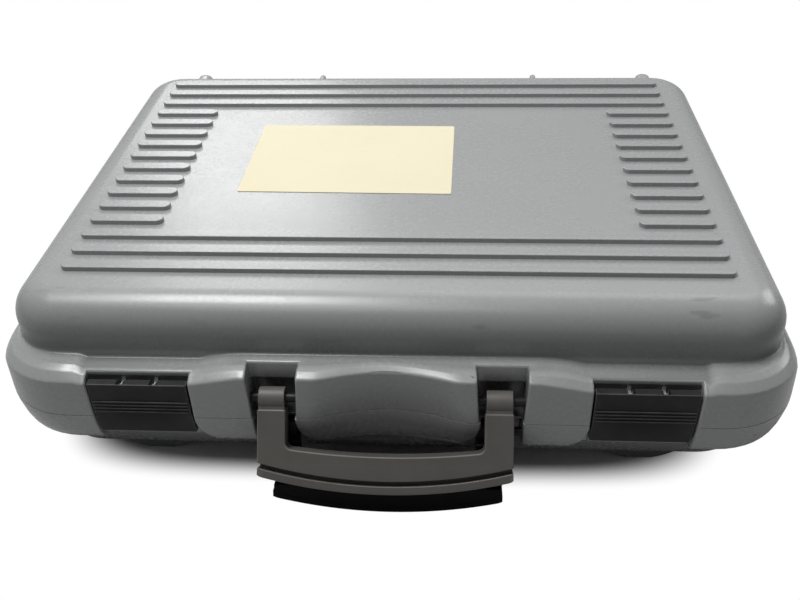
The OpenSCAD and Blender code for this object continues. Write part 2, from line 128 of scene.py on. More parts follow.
class CaseColours(bpy.types.PropertyGroup):
    """Colours of the case and its floor"""

    shell: colour("Shell", "Grey of the two moulded shells", (0.288, 0.293, 0.295))
    handle: colour("Handle", "Charcoal of the handle's lid half", (0.074, 0.071, 0.065))
    # the base half's black is the handle's charcoal darkened as painted shade, for the shadow under the lid
    # half
    handle_painted_shade: colour("Handle below", "Black of the handle's base half", (0.004, 0.004, 0.004))
    latch: colour("Latch", "Black of the latches", (0.0075, 0.0073, 0.007))
    label: colour("Label", "Cream of the paper label", (0.7, 0.65, 0.48))
    foam: colour("Foam", "Dark grey of the foam", (0.05, 0.051, 0.054))
    # the pins' near-black is painted shade, so they sink into the shade of the notches
    steel: colour("Steel", "Blackened grey of the pins", (0.02, 0.02, 0.021))
    floor: colour("Floor", "White of the floor", (0.93, 0.93, 0.93))


# Shader maths


class Wire:
    """A shader socket that takes part in sums and products as a number does."""

    def __init__(self, tree, socket):
        self.tree, self.socket = tree, socket

    def _math(self, operation, first, second):
        node = self.tree.nodes.new("ShaderNodeMath")
        node.operation = operation
        for socket, value in zip(node.inputs, (first, second)):
            plug(self.tree, socket, value)
        return Wire(self.tree, node.outputs[0])

    def __add__(self, other):
        return self._math("ADD", self, other)

    __radd__ = __add__

    def __sub__(self, other):
        return self._math("SUBTRACT", self, other)

    def __rsub__(self, other):
        return self._math("SUBTRACT", other, self)

    def __mul__(self, other):
        return self._math("MULTIPLY", self, other)

    __rmul__ = __mul__

    def __pow__(self, other):
        return self._math("POWER", self, other)

    def at_least(self, other):
        return self._math("MAXIMUM", self, other)

    def at_most(self, other):
        return self._math("MINIMUM", self, other)


def plug(tree, socket, value):
    """Links a wire to a socket, or sets the socket's own value."""
    if isinstance(value, Wire):
        tree.links.new(value.socket, socket)
    else:
        socket.default_value = value


class Nodes:
    """A node tree that starts empty."""

    def __init__(self, tree):
        self.tree = tree
        tree.nodes.clear()

    def node(self, kind, settings=None, inputs=None, output=0):
        """Adds a node, its settings first and then its sockets, and returns one output."""
        node = self.tree.nodes.new(kind)
        for name, value in (settings or {}).items():
            setattr(node, name, value)
        for name, value in (inputs or {}).items():
            plug(self.tree, node.inputs[name], value)
        return Wire(self.tree, node.outputs[output])

    def blend(self, share, first, second):
        """One shader carried towards another."""
        return self.node("ShaderNodeMixShader", inputs={0: share, 1: first, 2: second})

    def close(self, kind, shader):
        """Joins the last shader to the tree's output."""
        plug(self.tree, self.tree.nodes.new(kind).inputs[0], shader)


class Finish(Nodes):
    """One material, with the nodes of its surface."""

    def __init__(self, name):
        self.material = bpy.data.materials.new(name)
        self.material.use_nodes = True
        super().__init__(self.material.node_tree)
        self.place = self.node("ShaderNodeTexCoord", output="Object")

    def noise(self, scale, detail, stretch=None, roughness=0.5):
        """Noise of so many grains to the metre, stretched along the axes if told to."""
        place = self.place
        if stretch:
            place = self.node("ShaderNodeMapping", inputs={"Vector": place, "Scale": stretch})
        return self.node(
            "ShaderNodeTexNoise",
            inputs={"Vector": place, "Scale": scale, "Detail": detail, "Roughness": roughness},
        )

    def ramp(self, value, low, high):
        """Value carried from the span low to high onto 0 to 1."""
        return self.node("ShaderNodeMapRange", inputs={"Value": value, "From Min": low, "From Max": high})

    def within(self, value, start, full, fading, end):
        """0 before the start, 1 from full to fading, and 0 again past the end."""
        return self.ramp(value, start, full) * self.ramp(value, end, fading)

    def mix(self, share, first, second):
        """One colour carried towards another."""
        return self.node("ShaderNodeMix", {"data_type": "RGBA"}, {0: share, 6: first, 7: second}, 2)

    def coats(self, shade, *layers):
        """A colour with further colours laid over it, each with its share."""
        for share, over in layers:
            shade = self.mix(share, shade, over)
        return shade

    def axes(self, vector):
        """The three parts of a vector."""
        first = self.node("ShaderNodeSeparateXYZ", inputs={0: vector})
        return [Wire(self.tree, socket) for socket in first.socket.node.outputs]

    def turn(self):
        """How sharply the surface turns: above 0 on outer edges, below 0 in inner corners."""
        return self.node("ShaderNodeAttribute", {"attribute_name": "edge_turn"}, output="Fac")

    def surface(self, base, roughness, height, depth, sockets=None):
        """Closes the material with a Principled shader and a bump of so many metres."""
        bump = self.node("ShaderNodeBump", inputs={"Height": height, "Distance": depth, "Strength": 1.0})
        inputs = {"Base Color": base, "Roughness": roughness, "Normal": bump, **(sockets or {})}
        self.close("ShaderNodeOutputMaterial", self.node("ShaderNodeBsdfPrincipled", inputs=inputs))
        return self.material


def tint(rgb, factor=1.0, lift=0.0):
    """A colour made darker or lighter, as a socket wants it."""
    return (*(min(1.0, c * factor + lift) for c in rgb), 1.0)


def stained(rgb, factors):
    """A colour with its red, green and blue scaled apart."""
    return (*(c * factor for c, factor in zip(rgb, factors)), 1.0)


# Where painted shade darkens the shells, in metres in the frame: start, full, fading and end, or unshaded
# and full
WALL_PAINTED_SHADE = (0.0715, 0.0735, 0.081, 0.0935)
UNDERSIDE_PAINTED_SHADE = (0.0312, 0.0285)
REAR_FEET_UNSHADED = (0.1335, 0.1315)
NOTCH_PAINTED_SHADE_X = (0.0375, 0.0395, 0.057, 0.059)
NOTCH_PAINTED_SHADE_Y = (-0.1305, -0.1265, -0.1165, -0.1125)
NOTCH_PAINTED_SHADE_Z = (0.0715, 0.063)


def moulded_grey(rgb):
    """Satin moulded plastic: flow clouds, rubbed edges, scuffs and grain, with painted shade in inner
    corners, low walls, underside and notches.
    """
    f = Finish("moulded_grey")
    cloud = f.noise(7.0, 4.0)
    blotch = f.noise(38.0, 5.0, roughness=0.6)
    grain = f.noise(1900.0, 2.0)
    rub = f.ramp(f.noise(420.0, 3.0), 0.52, 0.75)
    scratch = f.ramp(f.noise(170.0, 2.0, (0.3, 1.0, 1.0)), 0.68, 0.74)
    scuff = scratch * f.ramp(f.noise(12.0, 2.0), 0.52, 0.66)
    edge = f.turn()
    pale_edges = edge.at_least(0.0) * (0.35 + 0.9 * blotch)
    # inner corners darkened: painted shade
    corners = (0.0 - edge).at_least(0.0) * (0.5 + blotch)
    x, y, z = f.axes(f.place)
    wide = x.at_least(0.0 - x)
    # painted shade low on the lid's walls and under the base, kept off the rear feet
    walls = (f.within(z, *WALL_PAINTED_SHADE) + f.ramp(z, *UNDERSIDE_PAINTED_SHADE)) * f.ramp(y, *REAR_FEET_UNSHADED)
    # painted shade deep in the handle notches
    notches = f.within(wide, *NOTCH_PAINTED_SHADE_X) * f.within(y, *NOTCH_PAINTED_SHADE_Y) * f.ramp(z, *NOTCH_PAINTED_SHADE_Z)
    shade = f.coats(
        f.mix(cloud, tint(rgb, 0.93), tint(rgb, 1.06)),
        (0.1 * rub, tint(rgb, 1.25)),
        ((0.45 * pale_edges).at_most(0.6), tint(rgb, 1.5, 0.02)),
        (0.45 * scuff, tint(rgb, 0.5)),
        ((0.5 * corners).at_most(0.6), tint(rgb, 0.45)),
        (0.58 * walls, tint(rgb, 0.32)),
        (0.75 * notches, tint(rgb, 0.2)),
    )
    return f.surface(shade, 0.22 + 0.1 * blotch + 0.05 * rub - 0.04 * pale_edges, grain + 6.0 * cloud, 0.000012)


def handle_plastic(rgb, name, shine):
    """Charcoal plastic, or the same made black as painted shade, with a fine spark grain and edges rubbed
    pale.
    """
    f = Finish(name)
    cloud = f.noise(30.0, 4.0)
    grain = f.noise(2400.0, 2.0)
    pale_edges = f.turn().at_least(0.0) * (0.3 + f.noise(160.0, 4.0))
    shade = f.coats(
        f.mix(cloud, tint(rgb, 0.85), tint(rgb, 1.2)),
        (0.25 * f.ramp(grain, 0.5, 0.8), tint(rgb, 1.9)),
        ((0.5 * pale_edges).at_most(0.7), tint(rgb, 2.6, 0.02)),
    )
    return f.surface(shade, 0.42 + 0.16 * cloud - 0.1 * pale_edges, grain, 0.00003, {"Specular IOR Level": shine})


def latch_black(rgb):
    """Near-black satin plastic with hairline rubs along the latch, and pale edges that are partly wear and
    partly painted highlight.
    """
    f = Finish("latch_black")
    cloud = f.noise(45.0, 3.0)
    hair = f.ramp(f.noise(900.0, 3.0, (0.06, 1.0, 1.0)), 0.55, 0.8)
    grain = f.noise(2600.0, 2.0)
    pale_edges = f.turn().at_least(0.0) * (0.4 + f.noise(220.0, 3.0))
    shade = f.coats(
        f.mix(cloud, tint(rgb, 0.8), tint(rgb, 1.3)),
        (0.3 * hair, tint(rgb, 2.4)),
        # edges and grip lines made pale: partly wear, partly painted highlight
        ((0.8 * pale_edges).at_most(0.85), tint(rgb, 3.5, 0.14)),
    )
    return f.surface(shade, 0.34 + 0.14 * cloud + 0.1 * hair, grain, 0.000015, {"Specular IOR Level": 0.14})


def label_paper(rgb):
    """Matt paper with fibres, faint stains and brown spots."""
    f = Finish("label_paper")
    fibre = f.noise(1400.0, 4.0, (1.0, 0.4, 1.0))
    stain = f.ramp(f.noise(24.0, 5.0), 0.45, 0.8)
    spots = f.ramp(f.noise(130.0, 3.0), 0.66, 0.8)
    shade = f.coats(
        f.mix(fibre, tint(rgb, 0.96), tint(rgb, 1.03)),
        (0.35 * stain, stained(rgb, (0.95, 0.9, 0.78))),
        (0.12 * spots, stained(rgb, (0.8, 0.68, 0.5))),
    )
    return f.surface(shade, 0.78 + 0.12 * fibre, fibre, 0.00002)


def open_foam(rgb):
    """Open-cell foam: small pits with paler cell walls."""
    f = Finish("open_foam")
    cell = f.node("ShaderNodeTexVoronoi", inputs={"Vector": f.place, "Scale": 620.0})
    crumb = f.noise(1500.0, 3.0)
    cloud = f.noise(16.0, 3.0)
    shade = f.coats(
        f.mix(f.ramp(cell, 0.1, 0.7), tint(rgb, 0.55), tint(rgb, 1.25)),
        (0.4 * cloud, tint(rgb, 1.6)),
    )
    return f.surface(shade, 0.9 + 0.08 * crumb, cell + 0.5 * crumb, 0.0005)


def drawn_steel(rgb):
    """Steel rod darkened as painted shade, with fine lines along it and dull spots."""
    f = Finish("drawn_steel")
    lines = f.noise(3000.0, 3.0, (0.02, 1.0, 1.0))
    spot = f.ramp(f.noise(300.0, 4.0), 0.5, 0.75)
    shade = f.coats(f.mix(lines, tint(rgb, 0.8), tint(rgb, 1.1)), (0.3 * spot, tint(rgb, 0.5)))
    roughness = 0.28 + 0.15 * lines + 0.2 * spot
    return f.surface(shade, roughness, lines, 0.000008, {"Metallic": 0.15, "Specular IOR Level": 0.15})


FINISHES = {
    "moulded_grey": lambda colours: moulded_grey(colours.shell),
    "handle_charcoal": lambda colours: handle_plastic(colours.handle, "handle_charcoal", 0.4),
    # the handle's charcoal darkened as painted shade for the base half
    "handle_shaded": lambda colours: handle_plastic(colours.handle_painted_shade, "handle_shaded", 0.06),
    "latch_black": lambda colours: latch_black(colours.latch),
    "label_paper": lambda colours: label_paper(colours.label),
    "open_foam": lambda colours: open_foam(colours.foam),
    "drawn_steel": lambda colours: drawn_steel(colours.steel),
}
MADE = {}


def finish(name):
    """The named material, made once from the chosen colours."""
    if name not in MADE:
        MADE[name] = FINISHES[name](bpy.context.scene.case_colours)
    return MADE[name]


# Mesh helpers, in millimetres


def block(bm, low, high):
    """Adds a box between two corners."""
    verts = bmesh.ops.create_cube(bm, size=1.0)["verts"]
    bmesh.ops.scale(bm, vec=[b - a for a, b in zip(low, high)], verts=verts)
    bmesh.ops.translate(bm, vec=[(a + b) / 2 for a, b in zip(low, high)], verts=verts)


def soften(bm, edges, offset, segments):
    """Rounds edges over."""
    bmesh.ops.bevel(
        bm, geom=list(edges), offset=offset, offset_type="OFFSET", segments=segments, profile=0.5,
        affect="EDGES", material=-1, clamp_overlap=False, loop_slide=True,
    )


def flat_at(element, z):
    """Whether all of an edge or face lies at height z."""
    return all(abs(v.co.z - z) < SAME for v in element.verts)


def level(bm, z):
    """Edges that lie at height z."""
    return [e for e in bm.edges if flat_at(e, z)]


def upright(bm):
    """Edges that stand upright."""
    return [e for e in bm.edges if abs(e.verts[0].co.z - e.verts[1].co.z) > 0.999 * e.calc_length()]


def rounded_block(low, high, corner, steps=12):
    """A box whose upright edges are rounded."""
    bm = bmesh.new()
    block(bm, low, high)
    soften(bm, upright(bm), corner, steps)
    return bm


def soft_box(low, high, softness, segments=2):
    """A box with all its edges rounded."""
    bm = bmesh.new()
    block(bm, low, high)
    soften(bm, bm.edges, softness, segments)
    return bm


def cap(bm, z):
    """The flat face at height z."""
    bm.normal_update()
    flat = [f for f in bm.faces if abs(f.normal.z) > 0.99 and flat_at(f, z)]
    return max(flat, key=lambda f: f.calc_area())


def inset(bm, z, thickness, depth):
    """Draws the flat face at height z in and pushes it out."""
    bmesh.ops.inset_region(bm, faces=[cap(bm, z)], thickness=thickness, depth=depth, use_even_offset=True)


def absorb(bm, *others):
    """Moves other meshes into this one."""
    for other in others:
        mesh = bpy.data.meshes.new("absorbed")
        other.to_mesh(mesh)
        other.free()
        bm.from_mesh(mesh)
        bpy.data.meshes.remove(mesh)
    return bm


def bridge(bm, z):
    """Closes the flat ring between the two open loops at height z."""
    bmesh.ops.bridge_loops(bm, edges=[e for e in level(bm, z) if e.is_boundary])


def bisect(bm, place, normal, clear=False):
    """Cuts the mesh along a plane, and clears what lies beyond it if told to."""
    bmesh.ops.bisect_plane(
        bm, geom=bm.verts[:] + bm.edges[:] + bm.faces[:], plane_co=place, plane_no=normal, clear_outer=clear
    )


def cut_across(bm, places, normal=(1, 0, 0)):
    """Cuts the mesh along upright planes, to bend it there or to keep its flat faces short."""
    for place in places:
        bisect(bm, place * Vector(normal), normal)


def fill_holes(bm):
    """Closes the open loops that a cleared part leaves."""
    bmesh.ops.holes_fill(bm, edges=[e for e in bm.edges if e.is_boundary])


def face_out(bm):
    """Closes doubles and turns the faces outwards."""
    bmesh.ops.remove_doubles(bm, verts=bm.verts, dist=1e-4)
    bmesh.ops.recalc_face_normals(bm, faces=bm.faces)
    return bm


def mirrored(bm, way=(-1, 1, 1)):
    """Turns a mesh into its mirror image."""
    bmesh.ops.scale(bm, vec=way, verts=bm.verts)
    bmesh.ops.reverse_faces(bm, faces=bm.faces)
    return bm


def sided(make):
    """Makes a mesh twice, for the right and the left side."""
    return make(), mirrored(make())


def shifted(meshes):
    """Moves meshes along X to where the front's notches sit."""
    for bm in meshes:
        bmesh.ops.translate(bm, vec=(FRONT_SHIFT, 0, 0), verts=bm.verts)
    return meshes


def extruded(bm, faces, way):
    """Draws faces out into a solid."""
    made = bmesh.ops.extrude_face_region(bm, geom=faces)["geom"]
    bmesh.ops.translate(bm, vec=way, verts=[v for v in made if isinstance(v, bmesh.types.BMVert)])
    return face_out(bm)


def prism(points, x0, x1):
    """A side outline, given as points in Y and Z, drawn out along X."""
    bm = bmesh.new()
    face = bm.faces.new([bm.verts.new((x0, y, z)) for y, z in points])
    return extruded(bm, [face], (x1 - x0, 0, 0))


def rod(radius, depth, steps, place, about=None):
    """A round bar standing on Z, or turned a quarter about an axis."""
    bm = bmesh.new()
    bmesh.ops.create_cone(bm, cap_ends=True, segments=steps, radius1=radius, radius2=radius, depth=depth)
    if about:
        quarter = Matrix.Rotation(math.pi / 2, 3, about)
        bmesh.ops.rotate(bm, cent=(0, 0, 0), matrix=quarter, verts=bm.verts)
    bmesh.ops.translate(bm, vec=place, verts=bm.verts)
    return bm


def ring(x0, x1, inner, outer, y, z, steps=32, softness=0.3):
    """A tube along X."""
    bm = bmesh.new()
    outline = ((x0, inner), (x0, outer), (x1, outer), (x1, inner))
    corners = [bm.verts.new((x, y, z + radius)) for x, radius in outline]
    edges = [bm.edges.new((corners[i - 1], corners[i])) for i in (1, 2, 3, 0)]
    bmesh.ops.spin(
        bm, geom=corners + edges, cent=(0, y, z), axis=(1, 0, 0), angle=2 * math.pi, steps=steps,
        use_merge=True,
    )
    face_out(bm)
    soften(bm, [e for e in bm.edges if e.calc_face_angle(0.0) > 1.2], softness, 2)
    return bm


def as_object(bm, name):
    """An object in the scene with the mesh as its data."""
    mesh = bpy.data.meshes.new(name)
    bm.to_mesh(mesh)
    bm.free()
    obj = bpy.data.objects.new(name, mesh)
    bpy.context.scene.collection.objects.link(obj)
    return obj


def settled(obj):
    """The mesh that an object's modifiers make."""
    bpy.context.view_layer.update()
    return bpy.data.meshes.new_from_object(obj.evaluated_get(bpy.context.evaluated_depsgraph_get()))


def cut(bm, *cutters):
    """Takes closed meshes out of another."""
    tool = as_object(face_out(absorb(bmesh.new(), *cutters)), "cut_tool")
    body = as_object(face_out(bm), "cut_body")
    modifier = body.modifiers.new("cut", "BOOLEAN")
    modifier.operation, modifier.solver, modifier.object = "DIFFERENCE", "EXACT", tool
    mesh = settled(body)
    for obj in (body, tool):
        old = obj.data
        bpy.data.objects.remove(obj)
        bpy.data.meshes.remove(old)
    result = bmesh.new()
    result.from_mesh(mesh)
    bpy.data.meshes.remove(mesh)
    if not result.faces:
        raise RuntimeError("a cut left nothing")
    return face_out(result)


def note_rounding(bm, width):
    """Notes how wide the rounding along each edge will be. What is absorbed later gets none."""
    layer = bm.edges.layers.float.new("rounding")
    for edge in bm.edges:
        edge[layer] = width(edge)


def middle_y():
    """Where the middle of the rim's depth lies in the frame."""
    return LID_LOW.y + bpy.context.scene.case_sizes.depth / MM / 2


def make_piece(bm, name, body, nodes, material, widest=0.0, segments=3):
    """Finishes a piece: rounds the noted edges, marks where it turns and hands it to the frame."""
    if widest:
        weights = bm.edges.layers.float.new("bevel_weight_edge")
        rounding = bm.edges.layers.float["rounding"]
        for edge in bm.edges:
            edge[weights] = min(1.0, edge[rounding] / widest)
    bmesh.ops.translate(bm, vec=(0, middle_y(), 0), verts=bm.verts)
    bmesh.ops.scale(bm, vec=(MM, MM, MM), verts=bm.verts)
    obj = as_object(bm, name)
    if widest:
        modifier = obj.modifiers.new("softness", "BEVEL")
        modifier.limit_method, modifier.width, modifier.segments = "WEIGHT", widest * MM, segments
        modifier.use_clamp_overlap, modifier.loop_slide = False, True
        mesh = settled(obj)
        old, obj.data = obj.data, mesh
        mesh.name = name
        obj.modifiers.clear()
        bpy.data.meshes.remove(old)
    mark_turns(obj.data)
    obj.data.shade_smooth()
    obj.data.set_sharp_from_angle(angle=math.radians(38))
    normals = obj.modifiers.new("flat_faces", "WEIGHTED_NORMAL")
    normals.keep_sharp, normals.weight = True, 80
    obj.data.materials.clear()
    obj.data.materials.append(material)
    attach(obj, body)
    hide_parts(*nodes)
    return obj


def mark_turns(mesh):
    """Stores how sharply the surface turns at each vertex, for the pale edges and the painted shade in inner
    corners of its finish.
    """
    faint, full = 0.2, 0.6
    bm = bmesh.new()
    bm.from_mesh(mesh)
    turn = bm.verts.layers.float.new("edge_turn")
    for vert in bm.verts:
        angles = [e.calc_face_angle_signed(0.0) for e in vert.link_edges]
        sharpest = max(angles, key=abs, default=0.0)
        share = max(0.0, min(1.0, (abs(sharpest) - faint) / (full - faint)))
        vert[turn] = math.copysign(share, sharpest)
    bm.to_mesh(mesh)
    bm.free()


# The two shells

RIM_SPARE = 0.8  # the rim stays this far inside the box at the sides
LID_CEILING = 92.3
BASE_BOTTOM = 4.0
# Rings round the lid's rim: inset and height at the sides, then inset and place at the front,
# below 0 in millimetres under the front edge and above 0 as a share of the way up to the ledge
LID_RINGS = (
    (0.7, 58.0, 0.15, -8.0), (1.3, 61.5, 0.22, -1.3), (1.9, 63.6, 0.4, -0.5), (2.6, 65.4, 0.8, -0.1),
    (3.5, 67.0, 1.5, 0.14), (4.6, 68.5, 2.6, 0.38), (5.6, 69.7, 3.6, 0.6), (6.5, 70.5, 4.3, 0.74),
    (7.3, 71.0, 7.1, 0.98), (7.9, 71.3, 7.8, 1.0),
)
BASE_RINGS = ((0.3, 44.5), (0.9, 41.0), (1.6, 37.6), (2.4, 35.0), (3.4, 33.0), (4.7, 31.4), (6.6, 30.0))
# Heights of the lid's ledge and front edge, by distance from the middle
LEDGE_LINE = (
    (0, 72.0), (62, 72.0), (68, 71.6), (75, 70.6), (81, 69.1), (129, 68.9), (132, 70.5), (143, 71.0),
    (180, 71.3),
)
EDGE_LINE = ((0, 70.5), (62, 70.5), (81, 67.0), (129, 66.0), (132, 66.9), (148, 67.2), (180, 67.5))
FRONT_BENDS = (62, 68, 75, 81, 129, 132)
# The finger scallop: depth at the parting, depth lost for each millimetre of height, longest half length,
# half length for the root of the depth, and how gently it runs out at its ends
SCALLOP_DEPTH, SCALLOP_LOSS, SCALLOP_HALF, SCALLOP_SPREAD, SCALLOP_EASE = 7.4, 0.085, 34.0, 12.6, 1.25
SCALLOP_FULL, SCALLOP_FADE = 1.2, 13.3  # how far into the rim it is full, and then fades
SCALLOP_ZONE = 40.0
SCALLOP_CUTS = [FRONT_SHIFT + 2.0 * i for i in range(-17, 18)]
NOTCH_FLARE, NOTCH_FLARE_INSIDE = 0.055, 1.7  # widening for each millimetre up, and how much more inside
# Side outlines of the cuts in the front, in Y and Z
LID_NOTCH = ((-150, 40), (-123.5, 40), (-123.5, 61.2), (-126.6, 63.4), (-127.0, 90), (-150, 90))
LID_RECESS = ((-150, 40), (-128.9, 40), (-128.9, 66.0), (-130.3, 66.0), (-130.3, 90), (-150, 90))
BASE_NOTCH = ((-150, 20), (-123.5, 20), (-123.5, 46.3), (-131.3, 46.3), (-131.3, 60), (-150, 60))
BASE_RECESS = ((-150, 20), (-127.4, 20), (-127.4, 36), (-126.6, 36), (-126.6, 60), (-150, 60))
# Lower corner of a block on the base's front: distance from its side, and height
CORNER_RELIEF = (
    (0, 45.5), (0.5, 42.0), (1.4, 39.0), (2.6, 36.8), (4.2, 35.0), (6.0, 33.6), (6.0, 20.0), (-1.0, 20.0),
    (-1.0, 45.5),
)
PIN_BORE = (34.6, 60.4)  # ends of the hole for a handle pin
# Widths of roundings
PARTING_EDGE, INNER_EDGE, WALL_ROOT, RECESS_EDGE, WIDEST_EDGE = 0.35, 0.4, 1.0, 0.7, 3.0
SMOOTH = 0.6  # edges that turn by fewer radians are part of a curve


def shell_plan(s):
    """Half width, front and back of the rim, and then of the walls."""
    half, front, back = LID_HIGH.x - RIM_SPARE, -s.depth / MM / 2, s.depth / MM / 2
    return (
        (half, front, back),
        (half - s.rim_side / MM, front + s.rim_front / MM, back - s.rim_back / MM),
    )


def lid_top(s):
    """Height of the lid's top between its ribs."""
    return LID_HIGH.z - s.rib_height / MM


def rim_hollows(bm, z, depth):
    """Sinks the hollow channels in the parting face at the two sides and the back."""
    side_x, back_y, middle = 160, 120, 20
    bm.normal_update()
    channels = []
    for face in bm.faces:
        x, y, _ = face.calc_center_median()
        at_side, at_back = abs(x) > side_x and abs(y) < middle, y > back_y and abs(x) < middle
        if (at_side or at_back) and flat_at(face, z):
            channels.append(face)
    for lip, sink in ((3.0, 0.0), (0.4, -depth)):
        bmesh.ops.inset_individual(bm, faces=channels, thickness=lip, depth=sink, use_even_offset=True)


def bare_shell(s, parting, rings, outer, ceiling, corner, rounding, steps, channel):
    """A shell before its cuts: the rim drawn in ring by ring, the walls, the hollow and the channels."""
    (half, front, back), (wall_half, wall_front, wall_back) = shell_plan(s)
    wall, ledge = s.wall / MM, rings[-1][1]
    height, drawn = parting + math.copysign(1.0, ledge - parting), 0.0
    rim_low, rim_high = sorted((parting, height))
    bm = rounded_block((-half, front, rim_low), (half, back, rim_high), s.rim_corner / MM)
    started = height
    for ring_inset, z, *_ in rings:
        inset(bm, height, ring_inset - drawn, abs(z - height))
        height, drawn = z, ring_inset
    bmesh.ops.dissolve_edges(bm, edges=level(bm, started), use_verts=True)
    low, high = sorted((ledge, outer))
    walls = rounded_block((-wall_half, wall_front, low), (wall_half, wall_back, high), corner)
    soften(walls, level(walls, outer), rounding, steps[0])
    low, high = sorted((parting, ceiling))
    hollow = rounded_block(
        (wall - wall_half, wall_front + wall, low), (wall_half - wall, wall_back - wall, high),
        corner - wall,
    )
    soften(hollow, level(hollow, ceiling), rounding - wall, steps[1])
    for mesh, z in ((bm, ledge), (bm, parting), (walls, ledge), (hollow, parting)):
        bmesh.ops.delete(mesh, geom=[cap(mesh, z)], context="FACES_ONLY")
    absorb(bm, walls, hollow)
    bridge(bm, ledge)
    bridge(bm, parting)
    face_out(bm)
    rim_hollows(bm, parting, channel)
    return bm


def between(x, stops):
    """Height at a distance from the middle, in straight runs between stops."""
    x = abs(x)
    for (x0, z0), (x1, z1) in zip(stops, stops[1:]):
        if x <= x1:
            return z0 + (z1 - z0) * (x - x0) / (x1 - x0)
    return stops[-1][1]


def scallop(x, z):
    """Depth of the finger scallop: deepest at the parting, eased into the front at its ends."""
    depth = SCALLOP_DEPTH - SCALLOP_LOSS * abs(z - PARTING)
    share = min(1.0, abs(x - FRONT_SHIFT) / min(SCALLOP_HALF, SCALLOP_SPREAD * math.sqrt(depth)))
    return depth * (1.0 - share * share) ** SCALLOP_EASE


def hollow_front(vert, front, wall_front):
    """Draws the scallop into the rim's front, fading out towards the wall."""
    if vert.co.y < wall_front - 0.1 and abs(vert.co.x) < SCALLOP_ZONE:
        inside = max(0.0, vert.co.y - front - SCALLOP_FULL)
        vert.co.y += scallop(vert.co.x, vert.co.z) * (1.0 - inside / SCALLOP_FADE)


def frontness(vert, half, front, corner):
    """How far a vertex belongs to the front, 1 along it and 0 at the sides, and its outward direction."""
    hold = 1.7  # keeps the share at 1 over the first part of the corner
    over = max(0.0, abs(vert.co.x) - half + corner)
    ahead = front + corner - vert.co.y
    turn = math.atan2(over, ahead) if ahead > 0 else math.pi / 2
    share = min(1.0, max(0.0, 1.0 - turn / math.radians(90)) * hold)
    outwards = Vector((math.copysign(math.sin(turn), vert.co.x), -math.cos(turn), 0))
    return share * share * (3 - 2 * share), outwards


def flared_notch():
    """Cutter for a handle notch in the lid, widened upwards."""
    bm = prism(LID_NOTCH, -1.0, 1.0)
    for vert in bm.verts:
        rise = max(0.0, vert.co.z - PARTING) * NOTCH_FLARE
        vert.co.x = NOTCH[0] - NOTCH_FLARE_INSIDE * rise if vert.co.x < 0 else NOTCH[1] + rise
    return face_out(bm)


def pin_bores(z):
    """Cutters for the holes that carry the handle pins in the sides of the notches."""
    x0, x1 = PIN_BORE
    return sided(lambda: rod(PIN_HOLE, x1 - x0, 24, ((x0 + x1) / 2, HANDLE_PIN_Y, z), "Y"))


def on_bore(edge, z):
    """Whether an edge belongs to a pin hole."""
    return all(math.hypot(v.co.y - HANDLE_PIN_Y, v.co.z - z) < PIN_HOLE + 0.15 for v in edge.verts)


def lid_shell_mesh(s):
    """The lid, with its shoulder drawn to the lines of the front, and the cuts in its front."""
    (half, front, _), (_, wall_front, _) = shell_plan(s)
    corner, ledge, ledge_depth, near = s.rim_corner / MM, LID_RINGS[-1][1], 9.0, 0.01
    bm = bare_shell(
        s, PARTING + PARTING_GAP, LID_RINGS, outer=lid_top(s), ceiling=LID_CEILING,
        corner=s.wall_corner / MM, rounding=s.top_rounding / MM, steps=(12, 8), channel=15.5,
    )
    cut_across(bm, SCALLOP_CUTS + [side * x for x in FRONT_BENDS for side in (-1, 1)])
    for vert in bm.verts:
        x, y, z = vert.co
        share, outwards = frontness(vert, half, front, corner)
        if z > ledge + near or not share or y > wall_front + near + corner:
            continue
        edge = between(x, EDGE_LINE)
        rise = between(x, LEDGE_LINE) - edge
        for side_inset, ring_z, front_inset, place in LID_RINGS:
            if abs(z - ring_z) < SAME:
                if z < ledge - near or y < front + ledge_depth:
                    vert.co += outwards * (side_inset - front_inset) * share
                vert.co.z += (edge + (place if place < 0 else place * rise) - z) * share
        hollow_front(vert, front, wall_front)
    bm = cut(bm, *shifted(sided(flared_notch)), *sided(lambda: prism(LID_RECESS, *RECESS)))
    return cut(bm, *pin_bores(LID_PIN_Z))


def lid_rounding(s):
    """How wide the rounding along each edge of the lid is."""
    shoulder, cut_edge = s.shoulder / MM, s.cut_edge / MM
    inside_y, root_y, notch_y, recess_y = -120.0, -122.6, -127.5, -131.0
    hollow_z, root_z, notch_z, blocks_x = 65.1, 67.5, 69.0, 62.0

    def width(edge):
        turn = edge.calc_face_angle_signed(0.0)
        x, y, z = (edge.verts[0].co + edge.verts[1].co) / 2
        if abs(turn) < SMOOTH:
            return 0.0
        if max(v.co.z for v in edge.verts) < PARTING + 0.1:
            return PARTING_EDGE
        if y > inside_y and z < hollow_z or on_bore(edge, LID_PIN_Z):
            return 0.0
        if turn < 0:
            return WALL_ROOT if z > root_z and y > root_y else INNER_EDGE
        if abs(x) >= blocks_x:
            return RECESS_EDGE if y > recess_y else cut_edge
        if y > notch_y:
            return WALL_ROOT if z > notch_z else INNER_EDGE
        return shoulder

    return width


# Ribs, from row to row and across, and how much further back the last row stands
FIRST_ROW, LAST_ROW, ROW_SPREAD = -92.4, 99.0, 3.2
RIB_LEFT, RIB_RIGHT, RIB_MIDDLE = -144.4, 143.6, 109.5
FULL_ROWS = 3


